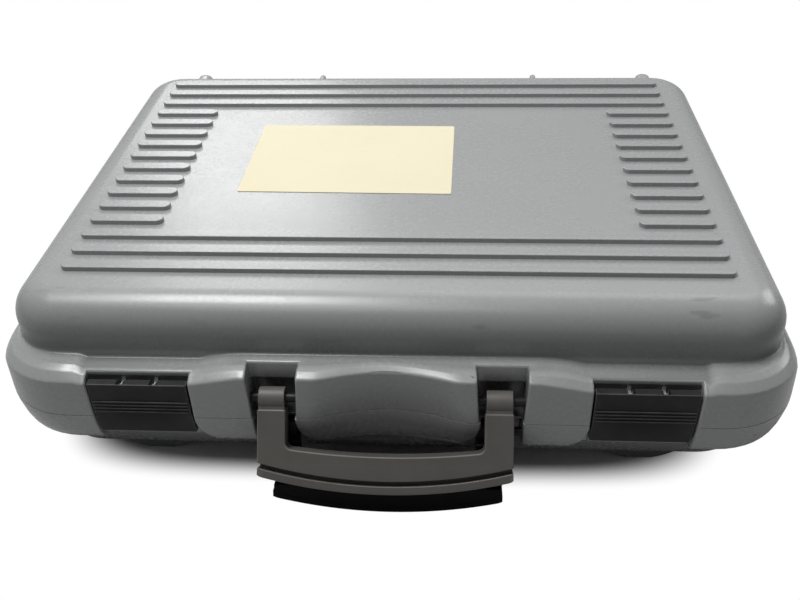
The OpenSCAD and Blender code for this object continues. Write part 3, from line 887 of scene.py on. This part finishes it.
def lid_ribs(s):
    """Rows of raised ribs: the outer rows run the full width, the others leave the middle plain."""
    bm = bmesh.new()
    low, high, half = lid_top(s) - 0.3, LID_HIGH.z, s.rib_width / MM / 2
    for row in range(s.rib_rows):
        share = row / (s.rib_rows - 1)
        y = FIRST_ROW + (LAST_ROW - FIRST_ROW) * share + ROW_SPREAD * share ** 4
        spans = ((RIB_MIDDLE, RIB_RIGHT), (RIB_LEFT, -RIB_MIDDLE))
        if row < FULL_ROWS or row >= s.rib_rows - FULL_ROWS:
            spans = ((RIB_LEFT, RIB_RIGHT),)
        for x0, x1 in spans:
            rib = rounded_block((x0, y - half, low), (x1, y + half, high), half - 0.02, 6)
            soften(rib, level(rib, high), 0.4, 3)
            absorb(bm, rib)
    return bm


# Rear feet: place along X, width, rounding, and how much shorter they are
REAR_FEET = ((-136.4, 9.0, 3.4, 0.0), (143.0, 9.0, 3.4, 0.0), (-59.7, 3.4, 1.3, 0.8), (74.3, 3.4, 1.3, 0.8))
FOOT_BACK, FOOT_SLOPE = 146, (141, 6.0)
FOOT_ROOT = 130  # edges nearer than this stay inside the wall


def rear_feet(near, far, root, far_root, along=()):
    """Standing feet on the back of a shell, from the hinge to the far end, rooted inside the wall."""
    up = 1.0 if far > near else -1.0
    feet = []
    for x, width, softness, drop in REAR_FEET:
        end = far - up * drop
        outline = (
            (root, near), (FOOT_BACK, near), (FOOT_BACK, end - up * FOOT_SLOPE[1]), (FOOT_SLOPE[0], end),
            (far_root, end), *along,
        )
        foot = prism(outline, x - width / 2, x + width / 2)
        soften(foot, [e for e in foot.edges if max(v.co.y for v in e.verts) > FOOT_ROOT], softness, 4)
        feet.append(foot)
    return feet


KNUCKLE_RADIUS, TIE_FRONT, TIE_BACK = 4.0, 134.0, 138.2


def knuckles(spans, low, high):
    """Hinge knuckles and the blocks that tie them to the rim."""
    made = []
    for x0, x1 in spans:
        made += sided(lambda: ring(x0, x1, PIN_HOLE, KNUCKLE_RADIUS, HINGE_Y, HINGE_Z))
        made += sided(lambda: soft_box((x0, TIE_FRONT, low), (x1, TIE_BACK, high), 0.5))
    return made


LUG = (
    (-127.9, 60.9), (-127.9, 65.4), (-129.0, 65.0), (-129.4, 64.7), (-130.3, 63.0), (-131.9, 62.4),
    (-131.9, 60.9),
)
LUG_HALF, LUG_HOLE, LUG_EYE = 0.8, 1.25, 1.55
LATCH_PIN_Y, LATCH_PIN_Z = -133.3, 62.5


def latch_lugs():
    """Lugs on the lid with the eyes that hold the latch pins."""
    made = []
    for x in LUG_PLACES:
        ends = x - LUG_HALF, x + LUG_HALF
        made += sided(lambda: ring(*ends, LUG_HOLE, LUG_EYE, LATCH_PIN_Y, LATCH_PIN_Z, 24, 0.1))
        made += sided(lambda: prism(LUG, *ends))
    return made


class CASE_OT_lid(bpy.types.Operator):
    """Model the lid with its ribs, latch lugs, hinge knuckles and rear feet"""

    bl_idname = "case.lid"
    bl_label = "Lid"

    def execute(self, context):
        s = context.scene.case_sizes
        bm = lid_shell_mesh(s)
        note_rounding(bm, lid_rounding(s))
        feet = rear_feet(near=55.36, far=86.7, root=123.0, far_root=123.0)
        hinges = knuckles([(88.58, 101.42)], low=48.5, high=58.0)
        absorb(bm, lid_ribs(s), *feet, *hinges, *latch_lugs())
        make_piece(
            bm, "lid_moulding", "lid", ["lid_shell"], finish("moulded_grey"),
            WIDEST_EDGE, segments=4,
        )
        return {"FINISHED"}


def corner_relief(place):
    """Cutter that rounds a lower corner of a block on the base's front, beside a notch or a latch."""
    bm = prism([(place - x, z) for x, z in CORNER_RELIEF], 127.0, 150.0)
    bmesh.ops.rotate(bm, cent=(0, 0, 0), matrix=Matrix.Rotation(-math.pi / 2, 3, "Z"), verts=bm.verts)
    return bm


def base_shell_mesh(s):
    """The base, with its scallop and the cuts in its front."""
    (_, front, _), (_, wall_front, _) = shell_plan(s)
    bm = bare_shell(
        s, PARTING, BASE_RINGS, outer=BASE_BOTTOM, ceiling=BASE_BOTTOM + s.wall / MM,
        corner=s.base_corner / MM, rounding=s.base_rounding / MM, steps=(16, 10), channel=13.5,
    )
    cut_across(bm, SCALLOP_CUTS)
    for vert in bm.verts:
        if vert.co.z > BASE_RINGS[-1][1] - 0.1:
            hollow_front(vert, front, wall_front)
    bm = cut(
        bm, *shifted(sided(lambda: prism(BASE_NOTCH, *NOTCH))), *sided(lambda: prism(BASE_RECESS, *RECESS))
    )
    bm = cut(bm, *shifted(sided(lambda: corner_relief(NOTCH[0]))))
    bm = cut(bm, *sided(lambda: corner_relief(RECESS[0])))
    return cut(bm, *pin_bores(BASE_PIN_Z))


def base_rounding(s):
    """How wide the rounding along each edge of the base is."""
    cut_edge, ledge = s.cut_edge / MM, BASE_RINGS[-1][1]
    inside_y, inside_back, inside_x, inside_z = -119.0, 133.5, 171.5, 31.6
    root_y, notch_y, blocks_x = -122.6, -124.0, 60.0

    def width(edge):
        turn = edge.calc_face_angle_signed(0.0)
        x, y, z = (edge.verts[0].co + edge.verts[1].co) / 2
        if abs(turn) < SMOOTH or on_bore(edge, BASE_PIN_Z):
            return 0.0
        if min(v.co.z for v in edge.verts) > PARTING - 0.1:
            return PARTING_EDGE
        if inside_y < y < inside_back and abs(x) < inside_x and z > inside_z:
            return 0.0
        if turn < 0:
            return WALL_ROOT if abs(z - ledge) < 0.1 and y > root_y else INNER_EDGE
        return INNER_EDGE if abs(x) < blocks_x and y > notch_y else cut_edge

    return width


TABLE_FOOT_X, TABLE_FOOT_FRONTS = 113.0, (-107.5, 80.0)
TABLE_FOOT_RADIUS, TABLE_FOOT_LENGTH, TABLE_FOOT_TOP = 29.0, 30.0, 9.0
TABLE_FOOT_AXIS = 28.4  # lower than the radius, which leaves a flat
RIDGE_LOW, RIDGE_HIGH = (84.0, -128.2, 40.0), (126.0, -126.1, 42.0)


def table_feet():
    """Round-bottomed feet under the base, each with a flat to stand on."""
    feet = []
    for y in TABLE_FOOT_FRONTS:
        for side in (-1, 1):
            place = (side * TABLE_FOOT_X, y + TABLE_FOOT_LENGTH / 2, TABLE_FOOT_AXIS)
            bm = rod(TABLE_FOOT_RADIUS, TABLE_FOOT_LENGTH, 96, place, "X")
            for z, normal in ((0.0, (0, 0, -1)), (TABLE_FOOT_TOP, (0, 0, 1))):
                bisect(bm, (0, 0, z), normal, True)
                fill_holes(bm)
            face_out(bm)
            below = [e for e in bm.edges if e.verts[0].co.z < TABLE_FOOT_TOP - 0.1]
            soften(bm, [e for e in below if e.calc_face_angle(0.0) > SMOOTH], 1.2, 3)
            feet.append(bm)
    return feet


class CASE_OT_base(bpy.types.Operator):
    """Model the base with its feet, hinge knuckles, rear feet and latch ridges"""

    bl_idname = "case.base"
    bl_label = "Base"

    def execute(self, context):
        s = context.scene.case_sizes
        bm = base_shell_mesh(s)
        note_rounding(bm, base_rounding(s))
        ridges = sided(lambda: soft_box(RIDGE_LOW, RIDGE_HIGH, 0.4))
        hinges = knuckles([(75.0, 88.08), (101.92, 115.0)], low=38.2, high=47.8)
        feet = rear_feet(
            near=40.94, far=12.0, root=124.0, far_root=116.0, along=((121.8, 20.0), (124.0, 30.0))
        )
        absorb(bm, *table_feet(), *feet, *hinges, *ridges)
        make_piece(
            bm, "base_moulding", "base", ["base_shell"], finish("moulded_grey"),
            WIDEST_EDGE, segments=4,
        )
        return {"FINISHED"}


# Label, latches and handle

LABEL_UNDER, LABEL_OVER = 0.02, 0.22  # its faces, above the lid's top
LABEL_TURN, LABEL_MOVE = math.radians(-0.85), (-0.6, 1.4, 0.0)
LABEL_CURL, LABEL_FLAT = 0.5, 0.9  # rise at the edges for each share past the flat share


class CASE_OT_label(bpy.types.Operator):
    """Model the paper label on the lid, with clipped corners and edges that lift a little"""

    bl_idname = "case.label"
    bl_label = "Label"

    def execute(self, context):
        shift = Vector((0, middle_y(), 0))
        low, high, seat = LABEL_LOW - shift, LABEL_HIGH - shift, lid_top(context.scene.case_sizes)
        bm = rounded_block((low.x, low.y, seat + LABEL_UNDER), (high.x, high.y, seat + LABEL_OVER), 1.0, 3)
        bmesh.ops.subdivide_edges(bm, edges=bm.edges, cuts=1, use_grid_fill=True)
        middle, size = (low + high) / 2, high - low
        for vert in bm.verts:
            from_middle = vert.co - middle
            far = 2 * max(abs(from_middle.x) / size.x, abs(from_middle.y) / size.y)
            vert.co.z += LABEL_CURL * max(0.0, far - LABEL_FLAT)
        bmesh.ops.rotate(bm, cent=middle, matrix=Matrix.Rotation(LABEL_TURN, 3, "Z"), verts=bm.verts)
        bmesh.ops.translate(bm, vec=LABEL_MOVE, verts=bm.verts)
        make_piece(bm, "paper_label", "lid", ["lid_label"], finish("label_paper"))
        return {"FINISHED"}


LATCH_PLATE = (
    (-135.5, 65.5), (-135.5, 49.5), (-133.5, 37.0), (-129.9, 37.0), (-128.9, 38.0), (-128.9, 39.0),
    (-130.4, 40.2), (-131.9, 49.5), (-131.9, 60.4), (-130.9, 61.4), (-130.9, 63.6), (-131.9, 64.6),
    (-131.9, 65.5),
)
SLOT_HALF, SLOT_LOW, SLOT_HIGH = 1.05, (-134.8, 60.3), (-123.9, 66.5)
SLOT_CUTS = (-1.8, -SLOT_HALF, SLOT_HALF, 1.8)
GRIP_LINES, GRIP_START, GRIP_PITCH, GRIP_HEIGHT = 4, 50.2, 1.8, 0.75
GRIP_MARGIN, GRIP_DEPTH = 0.6, (-136.0, -135.0)


def latch_mesh(half, edge_width):
    """The right latch: a bent plate with slots for the lugs and raised grip lines."""
    bm = prism(LATCH_PLATE, LATCH_MIDDLE - half, LATCH_MIDDLE + half)
    slots = bmesh.new()
    for x in LUG_PLACES:
        block(slots, (x - SLOT_HALF, *SLOT_LOW), (x + SLOT_HALF, *SLOT_HIGH))
    bm = cut(bm, slots)
    cut_across(bm, [x + place for x in LUG_PLACES for place in SLOT_CUTS])
    note_rounding(bm, lambda e: edge_width if e.calc_face_angle(0.0) > 0.5 else 0.0)
    x0, x1 = LATCH_MIDDLE - half + GRIP_MARGIN, LATCH_MIDDLE + half - GRIP_MARGIN
    y0, y1 = GRIP_DEPTH
    for row in range(GRIP_LINES):
        z = GRIP_START + GRIP_PITCH * row
        absorb(bm, soft_box((x0, y0, z), (x1, y1, z + GRIP_HEIGHT), 0.36, 3))
    return bm


class CASE_OT_latches(bpy.types.Operator):
    """Model the two latches, with their grip lines, lean and slots"""

    bl_idname = "case.latches"
    bl_label = "Latches"

    def execute(self, context):
        s = context.scene.case_sizes
        half, edge_width = s.latch_width / MM / 2, s.latch_edge / MM
        for name, bm in zip(("right", "left"), sided(lambda: latch_mesh(half, edge_width))):
            make_piece(
                bm, f"latch_plate_{name}", f"{name}_latch", [f"latch_{name}"],
                finish("latch_black"), edge_width,
            )
        return {"FINISHED"}


ARM, SEAM = 12.0, 4.6  # width of an arm, and where it meets its eye
# Reach of the grip's inner edge at its middle, and how far the inner and the outer edge bow
GRIP_INNER, BOW_INNER, BOW_OUTER = 23.5, 2.6, 6.6
FACE_HALF, GRIP_BACK = 4.0, 8.25  # half thickness of the face, and depth of the grip behind the pivot
# The lip's width, its step below the face, and where the groove beside it ends, from the outer edge
LIP, LIP_STEP, GROOVE_END = 3.6, 0.2, 5.7
CORE_INSET, CORE_FRONT, CORE_TOP = 0.7, 2.0, 0.4  # the core lies this much inside, and closes the groove
LIP_CORNER, ARM_CORNER, GROOVE_EDGE = 2.2, 2.4, 0.4
EYE_HALF, EYE_RADIUS, NECK_HALF, NECK_END = 5.5, 4.6, 3.2, -2.6
ARC_STEPS = 32
LIP_SPARE = 1.05  # steps by which the lip's sweep runs past each end, where it is cut off straight
NARROWER, SHORTER = 6.8, 1.2  # the base half against the lid half
LID_HALF_LEAN, BASE_HALF_LEAN = 34.0, 11.0  # degrees out from hanging straight down


def arc(bm, start, middle, angle, steps):
    """Edges of an arc in plan, and its two end vertices."""
    first = bm.verts.new((*start, 0.0))
    made = bmesh.ops.spin(
        bm, geom=[first], cent=(*middle, 0.0), axis=(0, 0, 1), angle=angle, steps=steps, use_merge=False
    )
    return first, next(v for v in made["geom_last"] if isinstance(v, bmesh.types.BMVert))


def raised(bm, joins, low, high):
    """Closes an outline with straight edges and draws it up between two heights."""
    for pair in joins:
        bm.edges.new(pair)
    bmesh.ops.translate(bm, vec=(0, 0, low), verts=bm.verts)
    return extruded(bm, bmesh.ops.contextual_create(bm, geom=bm.edges[:])["faces"], (0, 0, high - low))


def handle_half(width, reach, edge_width):
    """A handle half lying level: its pivot on the X axis, its reach towards -Y and its outer face up."""
    half, gap = width / 2, width / 2 - ARM
    out_r = (half * half + BOW_OUTER * BOW_OUTER) / (2 * BOW_OUTER)
    in_r = (gap * gap + BOW_INNER * BOW_INNER) / (2 * BOW_INNER)
    centre = out_r - reach

    def bow(bm, side, from_edge):
        """Arc along the grip, some way in from its outer edge."""
        radius = out_r - from_edge
        start = (-side, centre - math.sqrt(radius * radius - side * side))
        return arc(bm, start, (0, centre), 2 * math.asin(side / radius), ARC_STEPS)

    face = bmesh.new()
    out_left, out_right = bow(face, half, GROOVE_END)
    in_left, in_right = arc(
        face, (-gap, BOW_INNER - GRIP_INNER), (0, in_r - GRIP_INNER), 2 * math.asin(gap / in_r), 24
    )
    left, left_gap, right_gap, right = (face.verts.new((x, -SEAM, 0.0)) for x in (-half, -gap, gap, half))
    joins = (
        (out_left, left), (left, left_gap), (left_gap, in_left), (in_right, right_gap), (right_gap, right),
        (right, out_right),
    )
    raised(face, joins, -FACE_HALF, FACE_HALF)

    lip = bmesh.new()
    sweep = math.asin(half / out_r) * (1.0 + LIP_SPARE / (ARC_STEPS / 2 - LIP_SPARE))
    low, high = -GRIP_BACK, FACE_HALF - LIP_STEP
    corners = ((0.0, low), (LIP, low), (LIP, high), (0.0, high))
    profile = lip.faces.new([lip.verts.new((0.0, y - reach, z)) for y, z in corners])
    bmesh.ops.rotate(lip, cent=(0, centre, 0), matrix=Matrix.Rotation(-sweep, 3, "Z"), verts=lip.verts)
    bmesh.ops.spin(
        lip, geom=[profile], cent=(0, centre, 0), axis=(0, 0, 1), angle=2 * sweep, steps=ARC_STEPS,
        use_merge=False,
    )
    for side in (-1, 1):
        bisect(lip, (side * half, 0, 0), (side, 0, 0), True)
    fill_holes(lip)
    face_out(lip)

    core = bmesh.new()
    core_half = half - CORE_INSET
    out_left, out_right = bow(core, core_half, CORE_FRONT)
    left, right = (core.verts.new((x, -GRIP_INNER - 1.0, 0.0)) for x in (-core_half, core_half))
    raised(core, ((out_left, left), (left, right), (right, out_right)), -GRIP_BACK, CORE_TOP)

    for bm, y, corner in ((lip, BOW_OUTER - reach, LIP_CORNER), (face, BOW_INNER - GRIP_INNER, ARM_CORNER)):
        sharp = [k for k in upright(bm) if k.calc_face_angle(0.0) > SMOOTH]
        soften(bm, [k for k in sharp if abs(k.verts[0].co.y - y) < 0.4], corner, 5)

    def rounding(edge):
        middle = (edge.verts[0].co + edge.verts[1].co) / 2
        from_edge = out_r - math.hypot(middle.x, middle.y - centre)
        if edge.calc_face_angle(0.0) < 0.5:
            return 0.0
        return GROOVE_EDGE if 3.0 < from_edge < 6.0 else edge_width

    bm = absorb(bmesh.new(), face, lip, core)
    note_rounding(bm, rounding)
    for x in (ARM / 2 - half, half - ARM / 2):
        x0, x1 = x - EYE_HALF, x + EYE_HALF
        eye = ring(x0, x1, PIN_HOLE, EYE_RADIUS, 0.0, 0.0, 40, 0.5)
        absorb(bm, eye, soft_box((x0, -SEAM - 1, -NECK_HALF), (x1, NECK_END, NECK_HALF), 0.4))
    return bm


class CASE_OT_handle(bpy.types.Operator):
    """Model the two halves of the carry handle, folded down in front of the case"""

    bl_idname = "case.handle"
    bl_label = "Handle"

    def execute(self, context):
        s = context.scene.case_sizes
        width, reach, edge = s.handle_width / MM, s.handle_reach / MM, s.handle_edge / MM
        lid_half = handle_half(width, reach, edge)
        base_half = mirrored(handle_half(width - NARROWER, reach - SHORTER, edge), (1, 1, -1))
        for name, body, shade, bm, lean, z in (
            ("lid_half", "lid_handle", "handle_charcoal", lid_half, LID_HALF_LEAN, LID_PIN_Z),
            # the base half takes the charcoal darkened as painted shade
            ("base_half", "base_handle", "handle_shaded", base_half, BASE_HALF_LEAN, BASE_PIN_Z),
        ):
            turn = Matrix.Rotation(math.radians(90.0 - lean), 3, "X")
            bmesh.ops.rotate(bm, cent=(0, 0, 0), matrix=turn, verts=bm.verts)
            bmesh.ops.translate(bm, vec=(FRONT_SHIFT + HANDLE_SHIFT, HANDLE_PIN_Y, z), verts=bm.verts)
            make_piece(
                bm, f"handle_{name}_grip", body, [f"handle_{name}"], finish(shade), edge
            )
        return {"FINISHED"}


# Foam

FOAM_HALF, FOAM_FRONT, FOAM_BACK, FOAM_CORNER = 160.2, -117.7, 120.2, 24.2
LID_FOAM, LID_FOAM_ROUNDING = (76.3, 91.5), 11.0
BASE_FOAM, BASE_FOAM_ROUNDING = (7.8, 46.8), 23.0
FLOOR_TOP, INSERT_BOTTOM = 19.3, 20.6
POCKETS, POCKET_FRONT, POCKET_BACK, POCKET_CORNER = ((-141.0, 37.0), (57.0, 141.0)), -82.75, 85.25, 14.0
FINGER_PLACES, FINGER_RADIUS = (-52.0, 99.0), 16.0
CROWN_RING = 6.5


def foam_block(heights, rounded, rounding):
    """Foam cut to the inside of a shell, one flat side rounded to the shell's edge."""
    low, high = heights
    bm = rounded_block((-FOAM_HALF, FOAM_FRONT, low), (FOAM_HALF, FOAM_BACK, high), FOAM_CORNER, 10)
    soften(bm, level(bm, rounded), rounding, 10)
    return bm


def base_foam(z, normal):
    """The part of the base's foam on the near side of a level plane."""
    bm = foam_block(BASE_FOAM, BASE_FOAM[0], BASE_FOAM_ROUNDING)
    bisect(bm, (0, 0, z), (0, 0, normal), True)
    fill_holes(bm)
    return face_out(bm)


def crowned(bm, z, rise, softness):
    """Rounds the edge of a foam pad's open face and swells the face in rings."""
    soften(bm, level(bm, z), softness, 3)
    for share in (0.55, 0.3, 0.15):
        inset(bm, z, CROWN_RING, abs(rise) * share)
        z += rise * share
    cut_across(bm, (-100.0, -50.0, 0.0, 50.0, 100.0))
    cut_across(bm, (-60.0, 0.0, 60.0), (0, 1, 0))
    return face_out(bm)


def insert_mesh(softness):
    """The insert: two pockets cut through it, each with finger holes in front and behind."""
    bm = base_foam(INSERT_BOTTOM, -1)
    cut_across(bm, (-60.0, 47.0, 92.0))
    cut_across(bm, ((POCKET_FRONT + POCKET_BACK) / 2,), (0, 1, 0))
    pockets = (
        rounded_block((x0, POCKET_FRONT, 15.0), (x1, POCKET_BACK, 60.0), POCKET_CORNER, 8)
        for x0, x1 in POCKETS
    )
    bm = cut(bm, *pockets)
    for x in FINGER_PLACES:
        for y in (POCKET_FRONT, POCKET_BACK):
            bm = cut(bm, rod(FINGER_RADIUS, 60.0, 48, (x, y, 35.0)))
    top = [
        e for e in bm.edges
        if abs(e.verts[0].co.z - e.verts[1].co.z) < 0.1 and e.verts[0].co.z > BASE_FOAM[1] - 0.8
    ]
    soften(bm, [e for e in top if e.calc_face_angle(0.0) > 0.8], softness, 3)
    return bm


class CASE_OT_foam(bpy.types.Operator):
    """Model the foam: the lid's pad, the base's floor pad and the insert with its two pockets"""

    bl_idname = "case.foam"
    bl_label = "Foam"

    def execute(self, context):
        soft = context.scene.case_sizes.foam_edge / MM
        lid_pad = crowned(foam_block(LID_FOAM, LID_FOAM[1], LID_FOAM_ROUNDING), LID_FOAM[0], -1.0, soft)
        floor_pad = crowned(base_foam(FLOOR_TOP, 1), FLOOR_TOP, 1.0, soft)
        for name, body, node, bm in (
            ("foam_lid_pad", "lid", "lid_foam_pad", lid_pad),
            ("foam_floor_pad", "base", "base_foam_floor", floor_pad),
            ("foam_insert", "base", "base_foam_insert", insert_mesh(soft)),
        ):
            piece = make_piece(bm, name, body, [node], finish("open_foam"))
        return {"FINISHED"}


class CASE_OT_pins(bpy.types.Operator):
    """Finish the hinge, latch and handle pins in steel darkened as painted shade"""

    bl_idname = "case.pins"
    bl_label = "Pins"

    def execute(self, context):
        for name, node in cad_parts.items():
            if "_pin_" in name:
                node.data.materials.clear()
                node.data.materials.append(finish("drawn_steel"))
        return {"FINISHED"}


# Stage, in metres

SHADOW_MIDDLE, SHADOW_REACH = (-0.006, 0.0, 0.0), (0.168, 0.124, 1.0)
SHADOW_FADE, SHADOW_END = 0.86, 1.0  # shares of the reach
# Lamps: place, aim, size and power
LAMPS = {
    "overhead": ((-0.32, 0.02, 1.15), (-0.05, 0.0, 0.05), (0.5, 0.3), 8.0),
    "front": ((-0.3, -0.26, 1.08), (-0.05, -0.1, 0.07), (0.8, 0.5), 3.8),
    "sheen": ((-0.41, 1.25, 0.8), (-0.05, 0.0, 0.09), (0.4, 0.4), 3.3),
    "back": ((0.1, 0.75, 1.05), (0.0, 0.0, 0.05), (1.4, 0.6), 4.6),
    "right": ((0.95, 0.45, 0.6), (0.05, 0.0, 0.08), (0.5, 0.4), 2.8),
}
SURROUND_LIGHT, SURROUND_SHEEN = 0.08, 0.35
CAMERA_PLACE = (0.02662, -0.40096, 0.31257)
CAMERA_PITCH, CAMERA_YAW, CAMERA_ROLL = 36.53, 4.32, -1.85  # degrees down, round and sideways
CAMERA_LENS, CAMERA_SENSOR = 40.4, 36.0  # millimetres


def white_floor(rgb):
    """White floor that keeps the case's shadow near it and fades to plain white further out."""
    f = Finish("white_floor")
    share = f.node(
        "ShaderNodeMapping", {"vector_type": "TEXTURE"},
        {"Vector": f.place, "Location": SHADOW_MIDDLE, "Scale": SHADOW_REACH},
    )
    square = f.node("ShaderNodeVectorMath", {"operation": "MULTIPLY"}, {0: share, 1: share})
    across, along, _ = f.axes(square)
    far = (across * across * across + along * along * along) ** (1 / 6)
    white = f.node(
        "ShaderNodeMapRange", {"interpolation_type": "SMOOTHSTEP"},
        {"Value": far, "From Min": SHADOW_FADE, "From Max": SHADOW_END},
    )
    seen = f.node("ShaderNodeLightPath", output="Is Camera Ray")
    pale = f.mix(f.noise(60.0, 3.0), tint(rgb, 0.99), tint(rgb, 1.01))
    shade = f.mix(seen, tint(rgb, 0.55), pale)
    paint = f.node(
        "ShaderNodeBsdfPrincipled", inputs={"Base Color": shade, "Roughness": 0.9, "Specular IOR Level": 0.1}
    )
    glow = f.node("ShaderNodeEmission", inputs={"Color": WHITE, "Strength": 1.0})
    f.close("ShaderNodeOutputMaterial", f.blend(seen * white, paint, glow))
    return f.material


def white_surround(tree):
    """Faint even light, white to the camera and paler in reflections."""
    n = Nodes(tree)
    seen = n.node("ShaderNodeLightPath", output="Is Camera Ray")
    sheen = n.node("ShaderNodeLightPath", output="Is Glossy Ray")
    light, white = (
        n.node("ShaderNodeBackground", inputs={"Color": WHITE, "Strength": strength})
        for strength in (SURROUND_LIGHT, 1.0)
    )
    n.close("ShaderNodeOutputWorld", n.blend(seen.at_least(SURROUND_SHEEN * sheen), light, white))


def place_lamp(name, place, aim, size, power):
    """An area lamp turned towards a point."""
    data = bpy.data.lights.new(name, "AREA")
    data.shape, data.size, data.size_y = "RECTANGLE", *size
    data.energy = power
    obj = bpy.data.objects.new(name, data)
    obj.location = place
    obj.rotation_euler = (Vector(aim) - Vector(place)).to_track_quat("-Z", "Y").to_euler()
    bpy.context.scene.collection.objects.link(obj)


def place_camera(scene):
    """The camera, at the height and angle from which the case is seen."""
    camera = bpy.data.cameras.new("camera")
    camera.sensor_width, camera.lens = CAMERA_SENSOR, CAMERA_LENS
    camera.clip_start, camera.clip_end = 0.01, 50.0
    stand = Matrix.Translation(CAMERA_PLACE)
    for angle, axis in ((CAMERA_YAW, "Z"), (90.0 - CAMERA_PITCH, "X"), (CAMERA_ROLL, "Z")):
        stand @= Matrix.Rotation(math.radians(angle), 4, axis)
    obj = bpy.data.objects.new("camera", camera)
    obj.matrix_world = stand
    scene.collection.objects.link(obj)
    scene.camera = obj


class CASE_OT_stage(bpy.types.Operator):
    """Set out the floor, the lamps, the white surround and the camera"""

    bl_idname = "case.stage"
    bl_label = "Stage"

    def execute(self, context):
        scene = context.scene
        bm = bmesh.new()
        bmesh.ops.create_grid(bm, x_segments=8, y_segments=8, size=4.0)
        floor = as_object(bm, "floor")
        floor.data.materials.append(white_floor(scene.case_colours.floor))
        floor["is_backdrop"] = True
        scene.world = bpy.data.worlds.new("surround")
        scene.world.use_nodes = True
        white_surround(scene.world.node_tree)
        for name, lamp in LAMPS.items():
            place_lamp(name, *lamp)
        place_camera(scene)
        scene.view_settings.view_transform = "Standard"
        return {"FINISHED"}


class CASE_PT_panel(bpy.types.Panel):
    """Lists the case's pieces, sizes and colours"""

    bl_idname = "CASE_PT_panel"
    bl_label = "Carrying Case"
    bl_space_type = "VIEW_3D"
    bl_region_type = "UI"
    bl_category = "Case"

    def draw(self, context):
        column = self.layout.column(align=True)
        for operator in OPERATORS:
            column.operator(operator.bl_idname)
        for group in (context.scene.case_sizes, context.scene.case_colours):
            column = self.layout.column()
            for name in group.__annotations__:
                column.prop(group, name)


OPERATORS = (
    CASE_OT_base, CASE_OT_lid, CASE_OT_label, CASE_OT_latches, CASE_OT_handle, CASE_OT_foam, CASE_OT_pins,
    CASE_OT_stage,
)
CLASSES = (CaseSizes, CaseColours, *OPERATORS, CASE_PT_panel)


def register():
    for cls in CLASSES:
        bpy.utils.register_class(cls)
    bpy.types.Scene.case_sizes = PointerProperty(type=CaseSizes)
    bpy.types.Scene.case_colours = PointerProperty(type=CaseColours)


def unregister():
    del bpy.types.Scene.case_colours
    del bpy.types.Scene.case_sizes
    for cls in reversed(CLASSES):
        bpy.utils.unregister_class(cls)


def main():
    register()
    for operator in OPERATORS:
        group, name = operator.bl_idname.split(".")
        getattr(getattr(bpy.ops, group), name)()
    boxes = {"cad": CAD_BOX, "visual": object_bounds()}
    {name: [list(corner) for corner in box] for name, box in boxes.items()}


if __name__ == "__main__":
    main()
